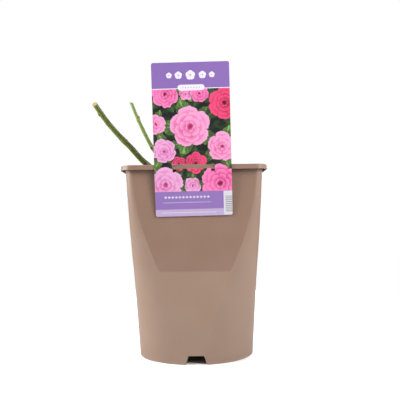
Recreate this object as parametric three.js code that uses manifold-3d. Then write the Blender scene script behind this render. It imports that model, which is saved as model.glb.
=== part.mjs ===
// A winter-pruned rose bush in a plastic pot with a square rim and a round foot,
// and the stiff picture label that hangs on the rim. Millimetres, +Z up.
// The origin is on the floor, under the middle of the box round the whole thing.
// Until the last line the pot's own axis is the Z axis, and the label hangs on its -Y side.

import * as THREE from 'three';
import { mergeVertices } from 'three/addons/utils/BufferGeometryUtils.js';
import Module from 'manifold-3d';

const wasm = await Module();
wasm.setup();

// Clearance between neighbouring pieces
const GAP = 0.3;

// Pot: half widths and corner radii of its outline at three heights
const FOOT = { z: 0, half: 73.2, corner: 73.2 };
const BELLY = { z: 110, half: 76.6, corner: 35.5 };
const NECK = { z: 232.5, half: 82, corner: 8.1 };
const CORNER_FALL = 2.06;
const POT_SIDES = 64;
const WALL = 1.4;
const EDGE = 0.6;

// Rim: a flat top with a skirt turned down round its edge
const RIM_HALF = 88;
const RIM_CORNER = 15;
const RIM_HEIGHT = 6;
const RIM_TOP = NECK.z + RIM_HEIGHT;

// Foot ring, the raised floor inside it, and the openings for water
const FOOT_RING = 2.6;
const FLOOR_UNDERSIDE = 11;
const FLOOR_TOP = 13;
const NOTCH = { height: 10.8, top: 18.7, bottom: 25.8 };
const DRAIN_RADIUS = 4.5;
const DRAIN_CIRCLE = 48;
const DRAIN_COUNT = 8;

// Compost: its level in the middle, and how far it sinks by the wall
const COMPOST_TOP = 212;
const COMPOST_SINK = 4;
const COMPOST_FLAT = 26;

// Knobbly union that all the canes spring from, standing on the compost
const UNION = { x: -12, y: 3, radius: 14, height: 16, sides: 16, lumps: 0.07 };
const UNION_OUTLINE = [[0, 0], [0.8, 0], [1, 0.3], [0.98, 0.55], [0.78, 0.8], [0.4, 0.97], [0, 1]];

// Canes: a few points on each centre line, half thickness at foot and tip, the height of each
// bud with the way it faces, and the way that the pruning cut faces with its slope
const CANE_SIDES = 10;
const CANE_STEPS = 32;
const CANES = [
  {
    name: 'thick_cane', colour: '#5d6b2b', foot: 4.3, tip: 3.3,
    path: [
      [-18, 1, 219], [-43, -1.5, 231.5], [-67.9, -4, 252.1],
      [-97, -11.7, 283.2], [-114.1, -16.9, 303.7], [-128, -22, 324.2],
    ],
    buds: [
      { z: 313.7, faces: [0.4, 0.8, 0.3] },
      { z: 280.6, faces: [0.7, -0.6, 0.5] },
      { z: 266, faces: [-0.3, 0.8, -0.3] },
      { z: 249.4, faces: [0.2, -0.8, 0.6] },
    ],
    cutFaces: [0.1, -1, 0.1], cutSlope: 36,
  },
  {
    name: 'slim_cane', colour: '#7f9a48', foot: 3.1, tip: 2.15,
    path: [
      [-14, 5, 220], [-36, 10, 242], [-53.5, 13.2, 266.5],
      [-59.2, 14.2, 275.5], [-75.1, 18.8, 309.2], [-85.3, 22, 334],
    ],
    buds: [
      { z: 311.6, faces: [0.9, -0.4, 0.4] },
      { z: 296.5, faces: [0.5, 0.8, 0.2] },
      { z: 270.4, faces: [-0.5, -0.8, -0.2] },
      { z: 246, faces: [0.5, 0.6, 0.5] },
    ],
    cutFaces: [1, 0, 0.3], cutSlope: 50,
  },
  {
    name: 'back_cane', colour: '#6b7a35', foot: 4.3, tip: 3.3,
    path: [[-9, 7, 220], [3, 25, 246], [15, 38, 281], [24, 45, 318]],
    buds: [
      { z: 305, faces: [0.4, 0.9, 0] },
      { z: 283, faces: [-0.8, 0.3, 0.3] },
      { z: 259, faces: [0.7, -0.6, 0.2] },
      { z: 240, faces: [-0.3, 0.8, 0] },
    ],
    cutFaces: [0, 1, 0.2], cutSlope: 38,
  },
  {
    name: 'right_cane', colour: '#748a3e', foot: 3.7, tip: 2.9,
    path: [[-6, 1, 220], [11, -6, 239], [27, -11, 268], [35, -14, 301]],
    buds: [
      { z: 290, faces: [0.8, -0.5, 0] },
      { z: 271, faces: [-0.7, -0.3, 0.5] },
      { z: 252, faces: [0.6, 0.7, 0] },
    ],
    cutFaces: [1, 0.3, 0.2], cutSlope: 40,
  },
];
const BUD = { length: 3.8, radius: 1.4, sides: 6, lean: 30, seat: 0.85, swelling: 0.12, reach: 2.6 };
const BUD_OUTLINE = [[0, -0.35], [0.8, -0.2], [1, 0.1], [0.75, 0.45], [0.35, 0.8], [0, 1]];

// Grey-brown snag of an older cane, cut off short
const SNAG = { x: -14, y: -7, leanX: -5, leanY: -9, top: 245, foot: 5.2, tip: 4.4 };

// Label: a thin stiff sheet that leans out over the rim, with a slot that the rim pokes through
const LABEL = { width: 91, height: 180, thickness: 0.7, corner: 2.4, bottom: 177.5, x: -0.2 };
const LABEL_LEAN = 5.7;
const LABEL_TURN = 0.85;
const SLOT = { width: 49.7, height: 9, offset: 0.75, bottom: NECK.z - 2.3 };
const LIP_DIP = { depth: 3, halfWidth: 25, reach: 18 };
const TONGUE = { width: 41, length: 4.6 };
const LABEL_COLUMNS = 16;
const LABEL_ROWS = 24;

const radians = THREE.MathUtils.degToRad;

// Half width and corner radius of the pot's outside at a height
function potSection(z) {
  if (z <= BELLY.z) {
    const t = z / BELLY.z;
    return {
      z,
      half: THREE.MathUtils.lerp(FOOT.half, BELLY.half, t),
      corner: THREE.MathUtils.lerp(FOOT.corner, BELLY.corner, t),
    };
  }
  const t = (z - BELLY.z) / (NECK.z - BELLY.z);
  return {
    z,
    half: THREE.MathUtils.lerp(BELLY.half, NECK.half, t),
    corner: NECK.corner + (BELLY.corner - NECK.corner) * (1 - t) ** CORNER_FALL,
  };
}

// The same section drawn in by a distance, with its corners drawn in alike
function inset(section, distance) {
  const half = section.half - distance;
  return { z: section.z, half, corner: Math.min(half, Math.max(section.corner - distance, 2)) };
}

// A ring of the lathe whose outline is a circle
function round(half, z) {
  return { z, half, corner: half };
}

// Closed mesh geometry to a solid that can be cut and joined, and back
function toSolid(geometry) {
  const bare = geometry.clone();
  bare.deleteAttribute('normal');
  bare.deleteAttribute('uv');
  const merged = mergeVertices(bare, 1e-4);
  return new wasm.Manifold(new wasm.Mesh({
    numProp: 3,
    vertProperties: new Float32Array(merged.attributes.position.array),
    triVerts: new Uint32Array(merged.index.array),
  }));
}

function toGeometry(solid) {
  const mesh = solid.getMesh();
  const geometry = new THREE.BufferGeometry();
  geometry.setAttribute('position', new THREE.BufferAttribute(new Float32Array(mesh.vertProperties), 3));
  geometry.setIndex(new THREE.BufferAttribute(new Uint32Array(mesh.triVerts), 1));
  geometry.computeVertexNormals();
  return geometry;
}

// A lathe about Z whose rings are rounded squares in place of circles
function squaredLathe(rings) {
  const outline = rings.map((ring) => new THREE.Vector2(ring.half, ring.z));
  const geometry = new THREE.LatheGeometry(outline, POT_SIDES, Math.PI / POT_SIDES);
  geometry.rotateX(Math.PI / 2);
  const position = geometry.attributes.position;
  for (let i = 0; i < position.count; i++) {
    const { half, corner } = rings[i % rings.length];
    const angle = Math.atan2(position.getY(i), position.getX(i));
    const flat = half - corner;
    position.setX(i, Math.sign(Math.cos(angle)) * flat + corner * Math.cos(angle));
    position.setY(i, Math.sign(Math.sin(angle)) * flat + corner * Math.sin(angle));
  }
  return geometry;
}

function piece(name, geometry, colour, roughness) {
  const material = new THREE.MeshStandardMaterial({ color: colour, roughness, metalness: 0 });
  const mesh = new THREE.Mesh(geometry, material);
  mesh.name = name;
  return mesh;
}

// Heights of the rings up a wall, closer together where the corners tighten
function wallHeights(lowest, steps) {
  const heights = [lowest, BELLY.z / 2, BELLY.z];
  for (let i = 1; i <= steps; i++) {
    heights.push(THREE.MathUtils.lerp(BELLY.z, NECK.z, i / steps));
  }
  return heights;
}

function makePot() {
  const sole = potSection(0);
  const rimOuter = { half: RIM_HALF, corner: RIM_CORNER };
  const rimInner = inset(rimOuter, WALL);
  const throat = inset(potSection(NECK.z), WALL);
  const outside = wallHeights(EDGE, 7).map(potSection);
  const inside = wallHeights(FLOOR_TOP, 7).map((z) => inset(potSection(z), WALL)).reverse();
  const rings = [
    round(0, FLOOR_UNDERSIDE),
    inset({ ...sole, z: FLOOR_UNDERSIDE }, FOOT_RING),
    inset(sole, FOOT_RING),
    inset(sole, EDGE),
    ...outside,
    { ...potSection(NECK.z), z: RIM_TOP - WALL },
    { ...rimInner, z: RIM_TOP - WALL },
    { ...rimInner, z: NECK.z },
    { ...rimOuter, z: NECK.z },
    { ...rimOuter, z: RIM_TOP - EDGE },
    { ...inset(rimOuter, EDGE), z: RIM_TOP },
    { ...throat, z: RIM_TOP },
    ...inside,
    round(0, FLOOR_TOP),
  ];
  let solid = toSolid(squaredLathe(rings));
  for (const turn of [0, 90]) {
    solid = solid.subtract(toSolid(notchCutter(turn)));
  }
  for (const drain of drainCutters()) {
    solid = solid.subtract(toSolid(drain));
  }
  return piece('pot', toGeometry(solid), '#9a7d6d', 0.45);
}

// A bar whose section is the notch, long enough to cut two opposite sides of the foot ring
function notchCutter(turn) {
  const below = 1;
  const flare = (NOTCH.bottom - NOTCH.top) / 2 / NOTCH.height;
  const shape = new THREE.Shape();
  shape.moveTo(-NOTCH.top / 2, NOTCH.height);
  shape.lineTo(-NOTCH.bottom / 2 - flare * below, -below);
  shape.lineTo(NOTCH.bottom / 2 + flare * below, -below);
  shape.lineTo(NOTCH.top / 2, NOTCH.height);
  const length = 2.2 * FOOT.half;
  const geometry = new THREE.ExtrudeGeometry(shape, { depth: length, bevelEnabled: false });
  geometry.translate(0, 0, -length / 2);
  geometry.rotateX(Math.PI / 2);
  geometry.rotateZ(radians(turn));
  return geometry;
}

function drainCutters() {
  const cutters = [];
  for (let i = 0; i <= DRAIN_COUNT; i++) {
    const angle = (i * 2 * Math.PI) / DRAIN_COUNT;
    const circle = i < DRAIN_COUNT ? DRAIN_CIRCLE : 0;
    const depth = 3 * (FLOOR_TOP - FLOOR_UNDERSIDE);
    const middle = (FLOOR_TOP + FLOOR_UNDERSIDE) / 2;
    const cutter = new THREE.CylinderGeometry(DRAIN_RADIUS, DRAIN_RADIUS, depth, 12);
    cutter.rotateX(Math.PI / 2);
    cutter.translate(circle * Math.cos(angle), circle * Math.sin(angle), middle);
    cutters.push(cutter);
  }
  return cutters;
}

function makeCompost() {
  const clear = WALL + GAP;
  const edgeTop = COMPOST_TOP - COMPOST_SINK;
  const walls = wallHeights(FLOOR_TOP + GAP, 7).filter((z) => z < edgeTop);
  const shoulder = inset(potSection(COMPOST_TOP), clear + 18);
  const rings = [
    round(0, FLOOR_TOP + GAP),
    ...walls.map((z) => inset(potSection(z), clear)),
    inset(potSection(edgeTop), clear),
    { ...shoulder, z: COMPOST_TOP - 1 },
    round(COMPOST_FLAT, COMPOST_TOP),
    round(0, COMPOST_TOP),
  ];
  return piece('compost', toGeometry(toSolid(squaredLathe(rings))), '#3b2a1e', 0.95);
}

// The union's shape, grown evenly by a distance for cutting the canes clear of it
function unionGeometry(grow) {
  const { radius, height, sides, lumps } = UNION;
  const outline = UNION_OUTLINE.map(([across, up]) => (
    new THREE.Vector2(across * (radius + grow), up * (height + 2 * grow) - grow)
  ));
  const geometry = new THREE.LatheGeometry(outline, sides);
  geometry.rotateX(Math.PI / 2);
  const position = geometry.attributes.position;
  for (let i = 0; i < position.count; i++) {
    const angle = Math.atan2(position.getY(i), position.getX(i));
    const swell = 1 + lumps * Math.sin(3 * angle + 0.6) + 0.5 * lumps * Math.sin(5 * angle);
    position.setX(i, position.getX(i) * swell);
    position.setY(i, position.getY(i) * swell);
  }
  geometry.translate(UNION.x, UNION.y, COMPOST_TOP + GAP);
  return geometry;
}

// Fraction of a curve's length at which it passes a height; the canes only climb
function fractionAtHeight(curve, z) {
  const steps = 400;
  for (let i = 0; i <= steps; i++) {
    if (curve.getPointAt(i / steps).z >= z) {
      return i / steps;
    }
  }
  return 1;
}

// A tapering limb along a curve, swollen at its buds, with a sloping cut across its tip
function limbGeometry(curve, { foot, tip, buds, cutFaces, cutSlope }) {
  const length = curve.getLength();
  const budFractions = buds.map(({ z }) => fractionAtHeight(curve, z));
  const outline = [new THREE.Vector2(0, 0)];
  for (let i = 0; i <= CANE_STEPS; i++) {
    const along = i / CANE_STEPS;
    let radius = THREE.MathUtils.lerp(foot, tip, along);
    for (const bud of budFractions) {
      const away = ((along - bud) * length) / BUD.reach;
      radius *= 1 + BUD.swelling * Math.exp(-away * away);
    }
    outline.push(new THREE.Vector2(radius, i));
  }
  outline.push(new THREE.Vector2(0, CANE_STEPS));
  const geometry = new THREE.LatheGeometry(outline, CANE_SIDES);
  const frames = curve.computeFrenetFrames(CANE_STEPS, false);
  const faces = new THREE.Vector3(...cutFaces).normalize();
  const position = geometry.attributes.position;
  for (let i = 0; i < position.count; i++) {
    const ring = Math.round(position.getY(i));
    const offset = new THREE.Vector3();
    offset.addScaledVector(frames.normals[ring], position.getX(i));
    offset.addScaledVector(frames.binormals[ring], -position.getZ(i));
    const point = curve.getPointAt(ring / CANE_STEPS).add(offset);
    if (ring === CANE_STEPS) {
      point.addScaledVector(frames.tangents[ring], -offset.dot(faces) * Math.tan(radians(cutSlope)));
    }
    position.setXYZ(i, point.x, point.y, point.z);
  }
  return geometry;
}

// A bud on the limb's side, pointing up along it and a little outwards
function budGeometry(curve, along, radius, faces) {
  const geometry = new THREE.LatheGeometry(
    BUD_OUTLINE.map(([across, up]) => new THREE.Vector2(across * BUD.radius, up * BUD.length)),
    BUD.sides,
  );
  const tangent = curve.getTangentAt(along);
  const outward = new THREE.Vector3(...faces).projectOnPlane(tangent).normalize();
  const hinge = tangent.clone().cross(outward).normalize();
  const heading = tangent.clone().applyAxisAngle(hinge, radians(BUD.lean));
  const upright = new THREE.Vector3(0, 1, 0);
  geometry.applyQuaternion(new THREE.Quaternion().setFromUnitVectors(upright, heading));
  const seat = curve.getPointAt(along).addScaledVector(outward, radius * BUD.seat);
  geometry.translate(seat.x, seat.y, seat.z);
  return geometry;
}

function makeCane(cane) {
  const curve = new THREE.CatmullRomCurve3(cane.path.map((point) => new THREE.Vector3(...point)));
  let solid = toSolid(limbGeometry(curve, cane));
  for (const { z, faces } of cane.buds) {
    const along = fractionAtHeight(curve, z);
    const radius = THREE.MathUtils.lerp(cane.foot, cane.tip, along);
    solid = solid.add(toSolid(budGeometry(curve, along, radius, faces)));
  }
  solid = solid.subtract(toSolid(unionGeometry(GAP)));
  return piece(cane.name, toGeometry(solid), cane.colour, 0.55);
}

function makeSnag() {
  const { x, y, leanX, leanY, top, foot, tip } = SNAG;
  const halfway = [x + leanX / 2, y + leanY / 2, (COMPOST_TOP + top) / 2];
  return makeCane({
    name: 'old_snag', colour: '#6f5f49', foot, tip, buds: [], cutFaces: [0, -1, 0], cutSlope: 25,
    path: [[x, y, COMPOST_TOP + 6], halfway, [x + leanX, y + leanY, top]],
  });
}

// Puts geometry drawn upright in the sheet's own plane, across X and up Z from the middle of
// the bottom edge, with its back on Y = 0, to where the label hangs
function hang(geometry) {
  geometry.rotateY(radians(-LABEL_TURN));
  geometry.rotateX(radians(LABEL_LEAN));
  const backAtRim = -(RIM_HALF + GAP);
  const bottomY = backAtRim + (NECK.z - LABEL.bottom) * Math.tan(radians(LABEL_LEAN));
  geometry.translate(LABEL.x, bottomY, LABEL.bottom);
  return geometry;
}

// A flat-faced block in the sheet's plane, between two depths
function block(width, height, x, z, front, back) {
  const geometry = new THREE.BoxGeometry(width, back - front, height);
  geometry.translate(x, (front + back) / 2, z + height / 2);
  return geometry;
}

function labelOutline() {
  const { width, height, corner } = LABEL;
  const half = width / 2;
  const shape = new THREE.Shape();
  shape.moveTo(-half + corner, 0);
  shape.lineTo(half - corner, 0);
  shape.absarc(half - corner, corner, corner, -Math.PI / 2, 0, false);
  shape.absarc(half - corner, height - corner, corner, 0, Math.PI / 2, false);
  shape.absarc(-half + corner, height - corner, corner, Math.PI / 2, Math.PI, false);
  shape.absarc(-half + corner, corner, corner, Math.PI, 1.5 * Math.PI, false);
  const depth = 20;
  const geometry = new THREE.ExtrudeGeometry(shape, { depth, bevelEnabled: false, curveSegments: 4 });
  geometry.translate(0, 0, -depth / 2);
  geometry.rotateX(Math.PI / 2);
  return geometry;
}

function makeLabel() {
  const rise = 1 / Math.cos(radians(LABEL_LEAN));
  const slotBottom = (SLOT.bottom - LABEL.bottom) * rise;
  const slotTop = slotBottom + SLOT.height;
  const { width, height, thickness } = LABEL;
  const sheet = new THREE.BoxGeometry(width, thickness, height, LABEL_COLUMNS, 1, LABEL_ROWS);
  sheet.translate(0, -thickness / 2, height / 2);
  const position = sheet.attributes.position;
  for (let i = 0; i < position.count; i++) {
    const across = (position.getX(i) - SLOT.offset) / LIP_DIP.halfWidth;
    const above = position.getZ(i) - slotTop;
    if (Math.abs(across) < 1 && above > -LIP_DIP.reach / 3) {
      const fade = Math.exp(-Math.max(above, 0) / LIP_DIP.reach);
      const dip = LIP_DIP.depth * Math.cos((across * Math.PI) / 2) ** 2 * fade;
      position.setY(i, position.getY(i) + dip);
    }
  }
  const through = 20;
  const slot = block(SLOT.width, SLOT.height, SLOT.offset, slotBottom, -through, through);
  const tiltBack = TONGUE.length * Math.sin(radians(LABEL_LEAN));
  const tiltAcross = (TONGUE.width / 2) * Math.sin(radians(LABEL_TURN));
  const tilt = tiltBack + tiltAcross;
  const tongueRise = NECK.z - GAP - tilt - SLOT.bottom;
  const riser = block(TONGUE.width, tongueRise, SLOT.offset, slotBottom, -thickness, 0);
  const shelfBottom = slotBottom + tongueRise - thickness;
  const shelf = block(TONGUE.width, thickness, SLOT.offset, shelfBottom, -thickness, TONGUE.length);
  const solid = toSolid(sheet)
    .intersect(toSolid(labelOutline()))
    .subtract(toSolid(slot))
    .add(toSolid(riser))
    .add(toSolid(shelf));
  return piece('picture_label', hang(toGeometry(solid)), '#b06fb5', 0.35);
}

const plant = new THREE.Group();
plant.name = 'potted_rose_bush';
plant.add(makePot());
plant.add(makeCompost());
plant.add(piece('bud_union', toGeometry(toSolid(unionGeometry(0))), '#6d5a3f', 0.8));
plant.add(makeSnag());
CANES.forEach((cane) => plant.add(makeCane(cane)));
plant.add(makeLabel());

const middle = new THREE.Box3().setFromObject(plant).getCenter(new THREE.Vector3());
plant.position.set(-middle.x, -middle.y, 0);

export default plant;
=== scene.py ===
import functools
import math
import random

import bmesh
import bpy
from bpy.props import FloatProperty, FloatVectorProperty, IntProperty, PointerProperty
from mathutils import Matrix, Vector, noise


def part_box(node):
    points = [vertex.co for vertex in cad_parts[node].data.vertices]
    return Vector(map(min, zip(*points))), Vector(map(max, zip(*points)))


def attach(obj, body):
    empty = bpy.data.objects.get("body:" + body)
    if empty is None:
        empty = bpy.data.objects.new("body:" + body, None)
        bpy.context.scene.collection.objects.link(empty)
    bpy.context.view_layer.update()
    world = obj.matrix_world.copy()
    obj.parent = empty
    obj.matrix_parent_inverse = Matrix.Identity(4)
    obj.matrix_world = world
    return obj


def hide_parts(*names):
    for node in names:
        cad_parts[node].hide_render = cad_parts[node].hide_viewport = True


bl_info = {
    "name": "Potted rose bush",
    "version": (1, 0, 0),
    "blender": (4, 5, 0),
    "location": "3D View > Sidebar > Rose bush",
    "description": "Builds a winter-pruned rose bush in its pot, with the picture label hung on the rim",
    "category": "Add Mesh",
}

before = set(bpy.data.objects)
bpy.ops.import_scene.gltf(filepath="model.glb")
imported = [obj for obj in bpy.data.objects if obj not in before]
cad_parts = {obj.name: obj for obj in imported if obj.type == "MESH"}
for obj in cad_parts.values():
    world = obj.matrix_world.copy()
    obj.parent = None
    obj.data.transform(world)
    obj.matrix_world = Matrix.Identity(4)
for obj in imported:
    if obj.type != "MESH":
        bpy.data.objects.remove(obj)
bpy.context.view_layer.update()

# Shapes are drawn in millimetres about the pot's axis, +Z up, and then put in the row frame
MM = 0.001
POT_LOW, POT_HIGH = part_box("pot")
POT_AXIS = Vector(((POT_LOW.x + POT_HIGH.x) / 2, (POT_LOW.y + POT_HIGH.y) / 2, 0))
TO_ROW_FRAME = Matrix.Translation(POT_AXIS) @ Matrix.Scale(MM, 4)
UP = Vector((0, 0, 1))
ORIGIN = (0, 0, 0)
# The smallest length that counts
HAIR = 1e-4

# Pot: heights, half widths and corner radii of its outline
FOOT = (0, 73.2, 73.2)
BELLY = (110, 76.6, 35.5)
NECK = (232.5, 82, 8.1)
CORNER_FALL = 2.06
POT_COLUMNS = 128
WALL = 1.4
# Lowest ring of the outside wall, and the steps between rings outside and inside
WALL_START = 2
WALL_STEP = 7.5
INSIDE_STEP = 15
# Least corner radius of a section that is drawn in, and the ring that closes the floor's middle
LEAST_CORNER = 2
FLOOR_MIDDLE = (2, 2)
RIM = (87.98, 15)
RIM_HEIGHT = 6
# How much higher the rim's skirt ends inside than outside
SKIRT_EDGE = 0.3
RIM_BEAD = 0.2
RIM_BEAD_HEIGHT = 1.7
RIM_TOP = NECK[0] + RIM_HEIGHT
RIM_ROUNDING = 1.1
EDGE_ROUNDING = 0.5
PANEL_MARGIN = 0.5
PANEL_DEPTH = 0.12
PANEL_FADE = 2.5
# Painted shade under the rim: between these heights the wall comes to share this much of the panels' darker
# tone
UNDER_RIM_SHADE = {"low": 150, "high": 200, "share": 0.6}
# Dust on the wall's foot: the height that it reaches, and its share at the floor
DUST = {"height": 4, "share": 0.35}
FOOT_RING = 2.6
FLOOR_UNDERSIDE = 11
FLOOR_TOP = 13
NOTCH_HEIGHT = 10.8
NOTCH_TOP = 18.7
NOTCH_BOTTOM = 25.8
DRAIN_RADIUS = 4.5
DRAIN_CIRCLE = 48
DRAIN_COUNT = 8

# Compost: its level in the middle, how far it sinks by the wall, and its clearance there
COMPOST_TOP = 212
COMPOST_SINK = 4
COMPOST_GAP = 0.3
COMPOST_CELLS = 110
# Heights of the rings down its sides to the pot's floor
COMPOST_LEVELS = (COMPOST_TOP - COMPOST_SINK - 4, 170, BELLY[0], BELLY[0] / 2, FLOOR_TOP + COMPOST_GAP)
# Widths of its broad lumps, lumps and crumbs, and each one's share of the lumps' height
LUMP_WIDTHS = (22, 7, 2.1)
LUMP_SHARES = (0.7, 0.55, 0.45)
CRUMB_SHIFT = Vector((5, 9, 3))
# How far the even surface lies below its level, as a share of the lumps' height
LUMP_ROOM = 0.9
# The lumps fade by the wall, from a share of the way out and over a span, to a least share
LUMP_FADE = {"start": 0.9, "span": 0.12, "least": 0.25}
# Loose crumbs: least radius, how much more the largest have, and the dents in them
CRUMB = {"least": 0.35, "spread": 1.5, "dent": 0.16}
# Fibres: ranges of length, bend and half thickness, and how far ends and middle lie above ground
FIBRE = {"length": (5, 17), "bend": (-1.2, 1.2), "thickness": (0.08, 0.24), "lift": 0.35, "arch": 0.9}

# Union that all the canes spring from
UNION = {"x": -12, "y": 3, "radius": 14, "height": 16, "lumps": 0.07, "sunk": 2}
UNION_OUTLINE = ((0, 0), (0.8, 0), (1, 0.3), (0.98, 0.55), (0.78, 0.8), (0.4, 0.97), (0, 1))

# Canes: a few points on each centre line and half thickness at foot and tip. Each bud has its
# height, the way it faces, how much the cane narrows past it, and its age from fresh to dormant.
# Each scar has its height, the way it faces, and how much the cane swells at it
CANE_COLUMNS = 40
RING_STEP = 0.65
# Steps that a centre line is measured in before it is cut into even ones
SPLINE_STEPS = 600
CANES = (
    {
        "name": "thick_cane", "foot": 4.1, "tip": 3.3, "finish": "aged",
        "path": ((-18, 1, 219), (-43, -1.5, 231.5), (-68.2, -4, 252.1), (-82.7, -8.1, 268.4),
                 (-97, -11.7, 283.2), (-114.1, -16.9, 303.7), (-127.9, -22, 324.2)),
        "buds": ((311.5, (-0.75, -0.3, -0.5), 0.1, 0.8), (279.8, (0.45, -0.85, 0.4), 0.15, 0),
                 (266, (-0.3, 0.8, -0.3), 0, 0.5), (248, (-0.3, -0.9, 0), 0.35, 1)),
        "scars": ((300, (-0.8, -0.3, -0.5), 0.1), (276.4, (0.8, -0.3, 0.5), 0.28),
                  (263, (-0.5, -0.6, -0.5), 0)),
        "cut_faces": (0.1, -1, 0.1), "cut_slope": 36,
    },
    {
        "name": "slim_cane", "foot": 3.1, "tip": 2.15, "finish": "fresh",
        "path": ((-14, 5, 220), (-36, 10, 242), (-53.5, 13.2, 266.5),
                 (-59.2, 14.2, 275.5), (-75.6, 18.8, 309.2), (-85.5, 22, 334)),
        "buds": ((311.6, (0.95, -0.2, 0.4), 0.1, 0.4), (296.5, (0.5, 0.8, 0.2), 0.05, 0.2),
                 (270.4, (-0.5, -0.8, -0.2), 0.1, 0.8), (246, (0.5, 0.6, 0.5), 0.1, 1)),
        "scars": ((309.2, (0.1, -0.9, 0.2), 0.2), (272.6, (-0.3, -0.9, 0), 0.1)),
        "cut_faces": (1, 0, 0.3), "cut_slope": 36,
    },
    {
        "name": "back_cane", "foot": 4.3, "tip": 3.3, "finish": "aged",
        "path": ((-9, 7, 220), (3, 25, 246), (15, 38, 281), (24, 45, 318)),
        "buds": ((305, (0.4, 0.9, 0), 0.1, 0), (283, (-0.8, 0.3, 0.3), 0.3, 0.3),
                 (259, (0.7, -0.6, 0.2), 0.1, 0.7), (240, (-0.3, 0.8, 0), 0.1, 1)),
        "scars": ((279.5, (0.6, 0.5, 0), 0.2), (251, (-0.7, 0.5, 0), 0.1)),
        "cut_faces": (0, 1, 0.2), "cut_slope": 38,
    },
    {
        "name": "right_cane", "foot": 3.7, "tip": 2.9, "finish": "fresh",
        "path": ((-6, 1, 220), (11, -6, 239), (27, -11, 268), (35, -14, 301)),
        "buds": ((290, (0.8, -0.5, 0), 0.1, 0.1), (271, (-0.7, -0.3, 0.5), 0.2, 0.4),
                 (252, (0.6, 0.7, 0), 0.1, 0.9)),
        "scars": ((262, (0.5, -0.8, 0), 0.1),),
        "cut_faces": (1, 0.3, 0.2), "cut_slope": 40,
    },
)
SNAG = {
    "name": "old_snag", "foot": 5.2, "tip": 4.4, "finish": "old",
    "path": ((-14, -7, 218), (-16.5, -11.5, 228.5), (-19, -16, 245)),
    "buds": (), "scars": ((236, (1, 0, 0), 0.1),), "cut_faces": (0, -1, 0), "cut_slope": 25,
}
# Direction that the canes' painted light and shade are measured from: the side turned from it is painted
# paler, and the side facing it greyer, as painted sheen
PAINTED_LIGHT_SIDE = Vector((0.62, -0.3, 0.72))
# Painted shade: the dark streak's middle and half width, as how far a spot faces the painted light's side
SHADE_STREAK = {"middle": 0.42, "half_width": 0.2}
# How much thicker a cane is at its very foot, and how far up that reaches
FLARE = {"size": 0.55, "reach": 6}
# How the bark stands proud: ribs and fine grain as shares of the relief setting, and old bark's
# thickness, the depth and width of its cracks, and its own fine grain in millimetres
RIBS = {"broad": 1.1, "fine": 0.5}
OLD_RELIEF = {"thickness": 0.55, "crack": 1.3, "crack_width": 0.35, "fine": 0.25}
# Swellings: the ring and the pad under a bud, and the pad at a scar, by height, length and angle
BUD_PAD = {"ring": 0.14, "height": 0.42, "above": 0.4, "length": 2.1, "angle": 0.75}
SCAR_PAD = {"height": 0.32, "length": 1.1, "angle": 0.5}
# Line that a leaf scar leaves: how proud it is, how far below the bud it runs and sways, its width,
# and the angle over which it fades round the stem
LEAF_LINE = {"proud": 0.2, "below": 1.5, "sway": 0.5, "width": 0.45, "angle": 2.4}
# Seat for the cut face in a cane's tip: share of the tip's section, and depth
CUT_SEAT = ((0.98, -0.1), (0.94, 0.35))
# Cut face: share of the cane's radius, and height along the cane
CUT_PROFILE = (
    (0.3, -0.5), (0.88, -0.5), (0.94, -0.15), (0.92, 0.08), (0.72, 0.14), (0.45, 0.1),
    (0.36, -0.02), (0.2, -0.1), (0.04, -0.12),
)
# Bud: spread is how much wider a dormant one is, seat how far out its axis stands as a share of
# the cane's radius, sunk the share of its length below its place, reach how far along the cane
# the bark swells for it, and narrowing the distance over which the cane thins past it
BUD = {
    "length": 4.4, "radius": 1.45, "spread": 0.4, "flatness": 0.8, "lean": 21, "seat": 0.8,
    "sunk": 0.3, "reach": 2.6, "narrowing": 3.5,
}

# Label: a thin stiff sheet that leans out over the rim, with a slot that the rim pokes through
LABEL = {"width": 91, "height": 179.9, "thickness": 0.6, "corner": 2.4, "bottom": 177.5, "x": -0.2}
LABEL_LEAN = 5.7
LABEL_TURN = 0.85
LABEL_GAP = 0.3
SLOT = {"width": 49.7, "height": 8.2, "offset": 0.75, "bottom": NECK[0] - 2.3}
LIP_DIP = {"depth": 3, "half_width": 25, "reach": 18}
FOOT_SAG = 2.2
TONGUE = {"width": 41, "length": 4.6}
# The tongue's fold: how far back each row of points lies, and its height about the folded edge
TONGUE_FOLD = ((0.15, -0.22), (0.35, -0.1), (TONGUE["length"] - 1, -0.1), (TONGUE["length"], -0.1))
# Largest cell of the sheet's grid, and its margins below the slot's top and beside the corners
SHEET_CELL = 2.6
SLOT_MARGIN = 0.5
CORNER_MARGIN = 0.1

# Print on the label: heights of its bands above the bottom edge
PICTURE_LOW = 29.4
PICTURE_HIGH = 149.1
FOOT_BAND = 8.3
HEAD_LINE = 0.9
PATCH = {"left": 35.3, "low": 0.9, "high": 29}
STRIPES = {
    "left": PATCH["left"] + 2.2, "low": PATCH["low"] + 3.5, "high": PATCH["high"] - 6,
    "spacing": 2.2, "thinness": 0.1,
}
PILL = {"x": 0.4, "z": 150.6, "half_width": 15.7, "half_height": 3.4}
BLOOM_SIZES = (24, 22.5, 21, 19, 17.5, 16, 14.5, 13, 12, 11, 10, 9, 8)
# A bloom under this size has three rings of petals, and the others have four
SMALL_BLOOM = 13
SPRIG_HEIGHT = 165
SPRIG_ROW = ((-25, 3.4), (-14, 4.4), (0, 5.6), (14, 4.4), (25, 3.4))
# Rows of beads: middle across and up, half length, spacing and bead size
BEAD_ROWS = ((-8, 22.6, 28, 4.2, 1.7), (-8, 16.4, 28, 2.8, 0.8), (-6, 4.4, 33, 2.8, 0.9))
# Half length, spacing and bead size of the row in the pill
PILL_BEADS = (11, 3.2, 0.9)

# Seeds of the random draws, and how many places are tried for each bloom
SEEDS = {"crumbs": 31, "fibres": 47, "blooms": 12, "turns": 5}
BLOOM_TRIES = 160

# Edges that turn more than this many degrees stay sharp
SHARP_EDGES = {"pot": 38, "compost": 60, "label": 40}

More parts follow.
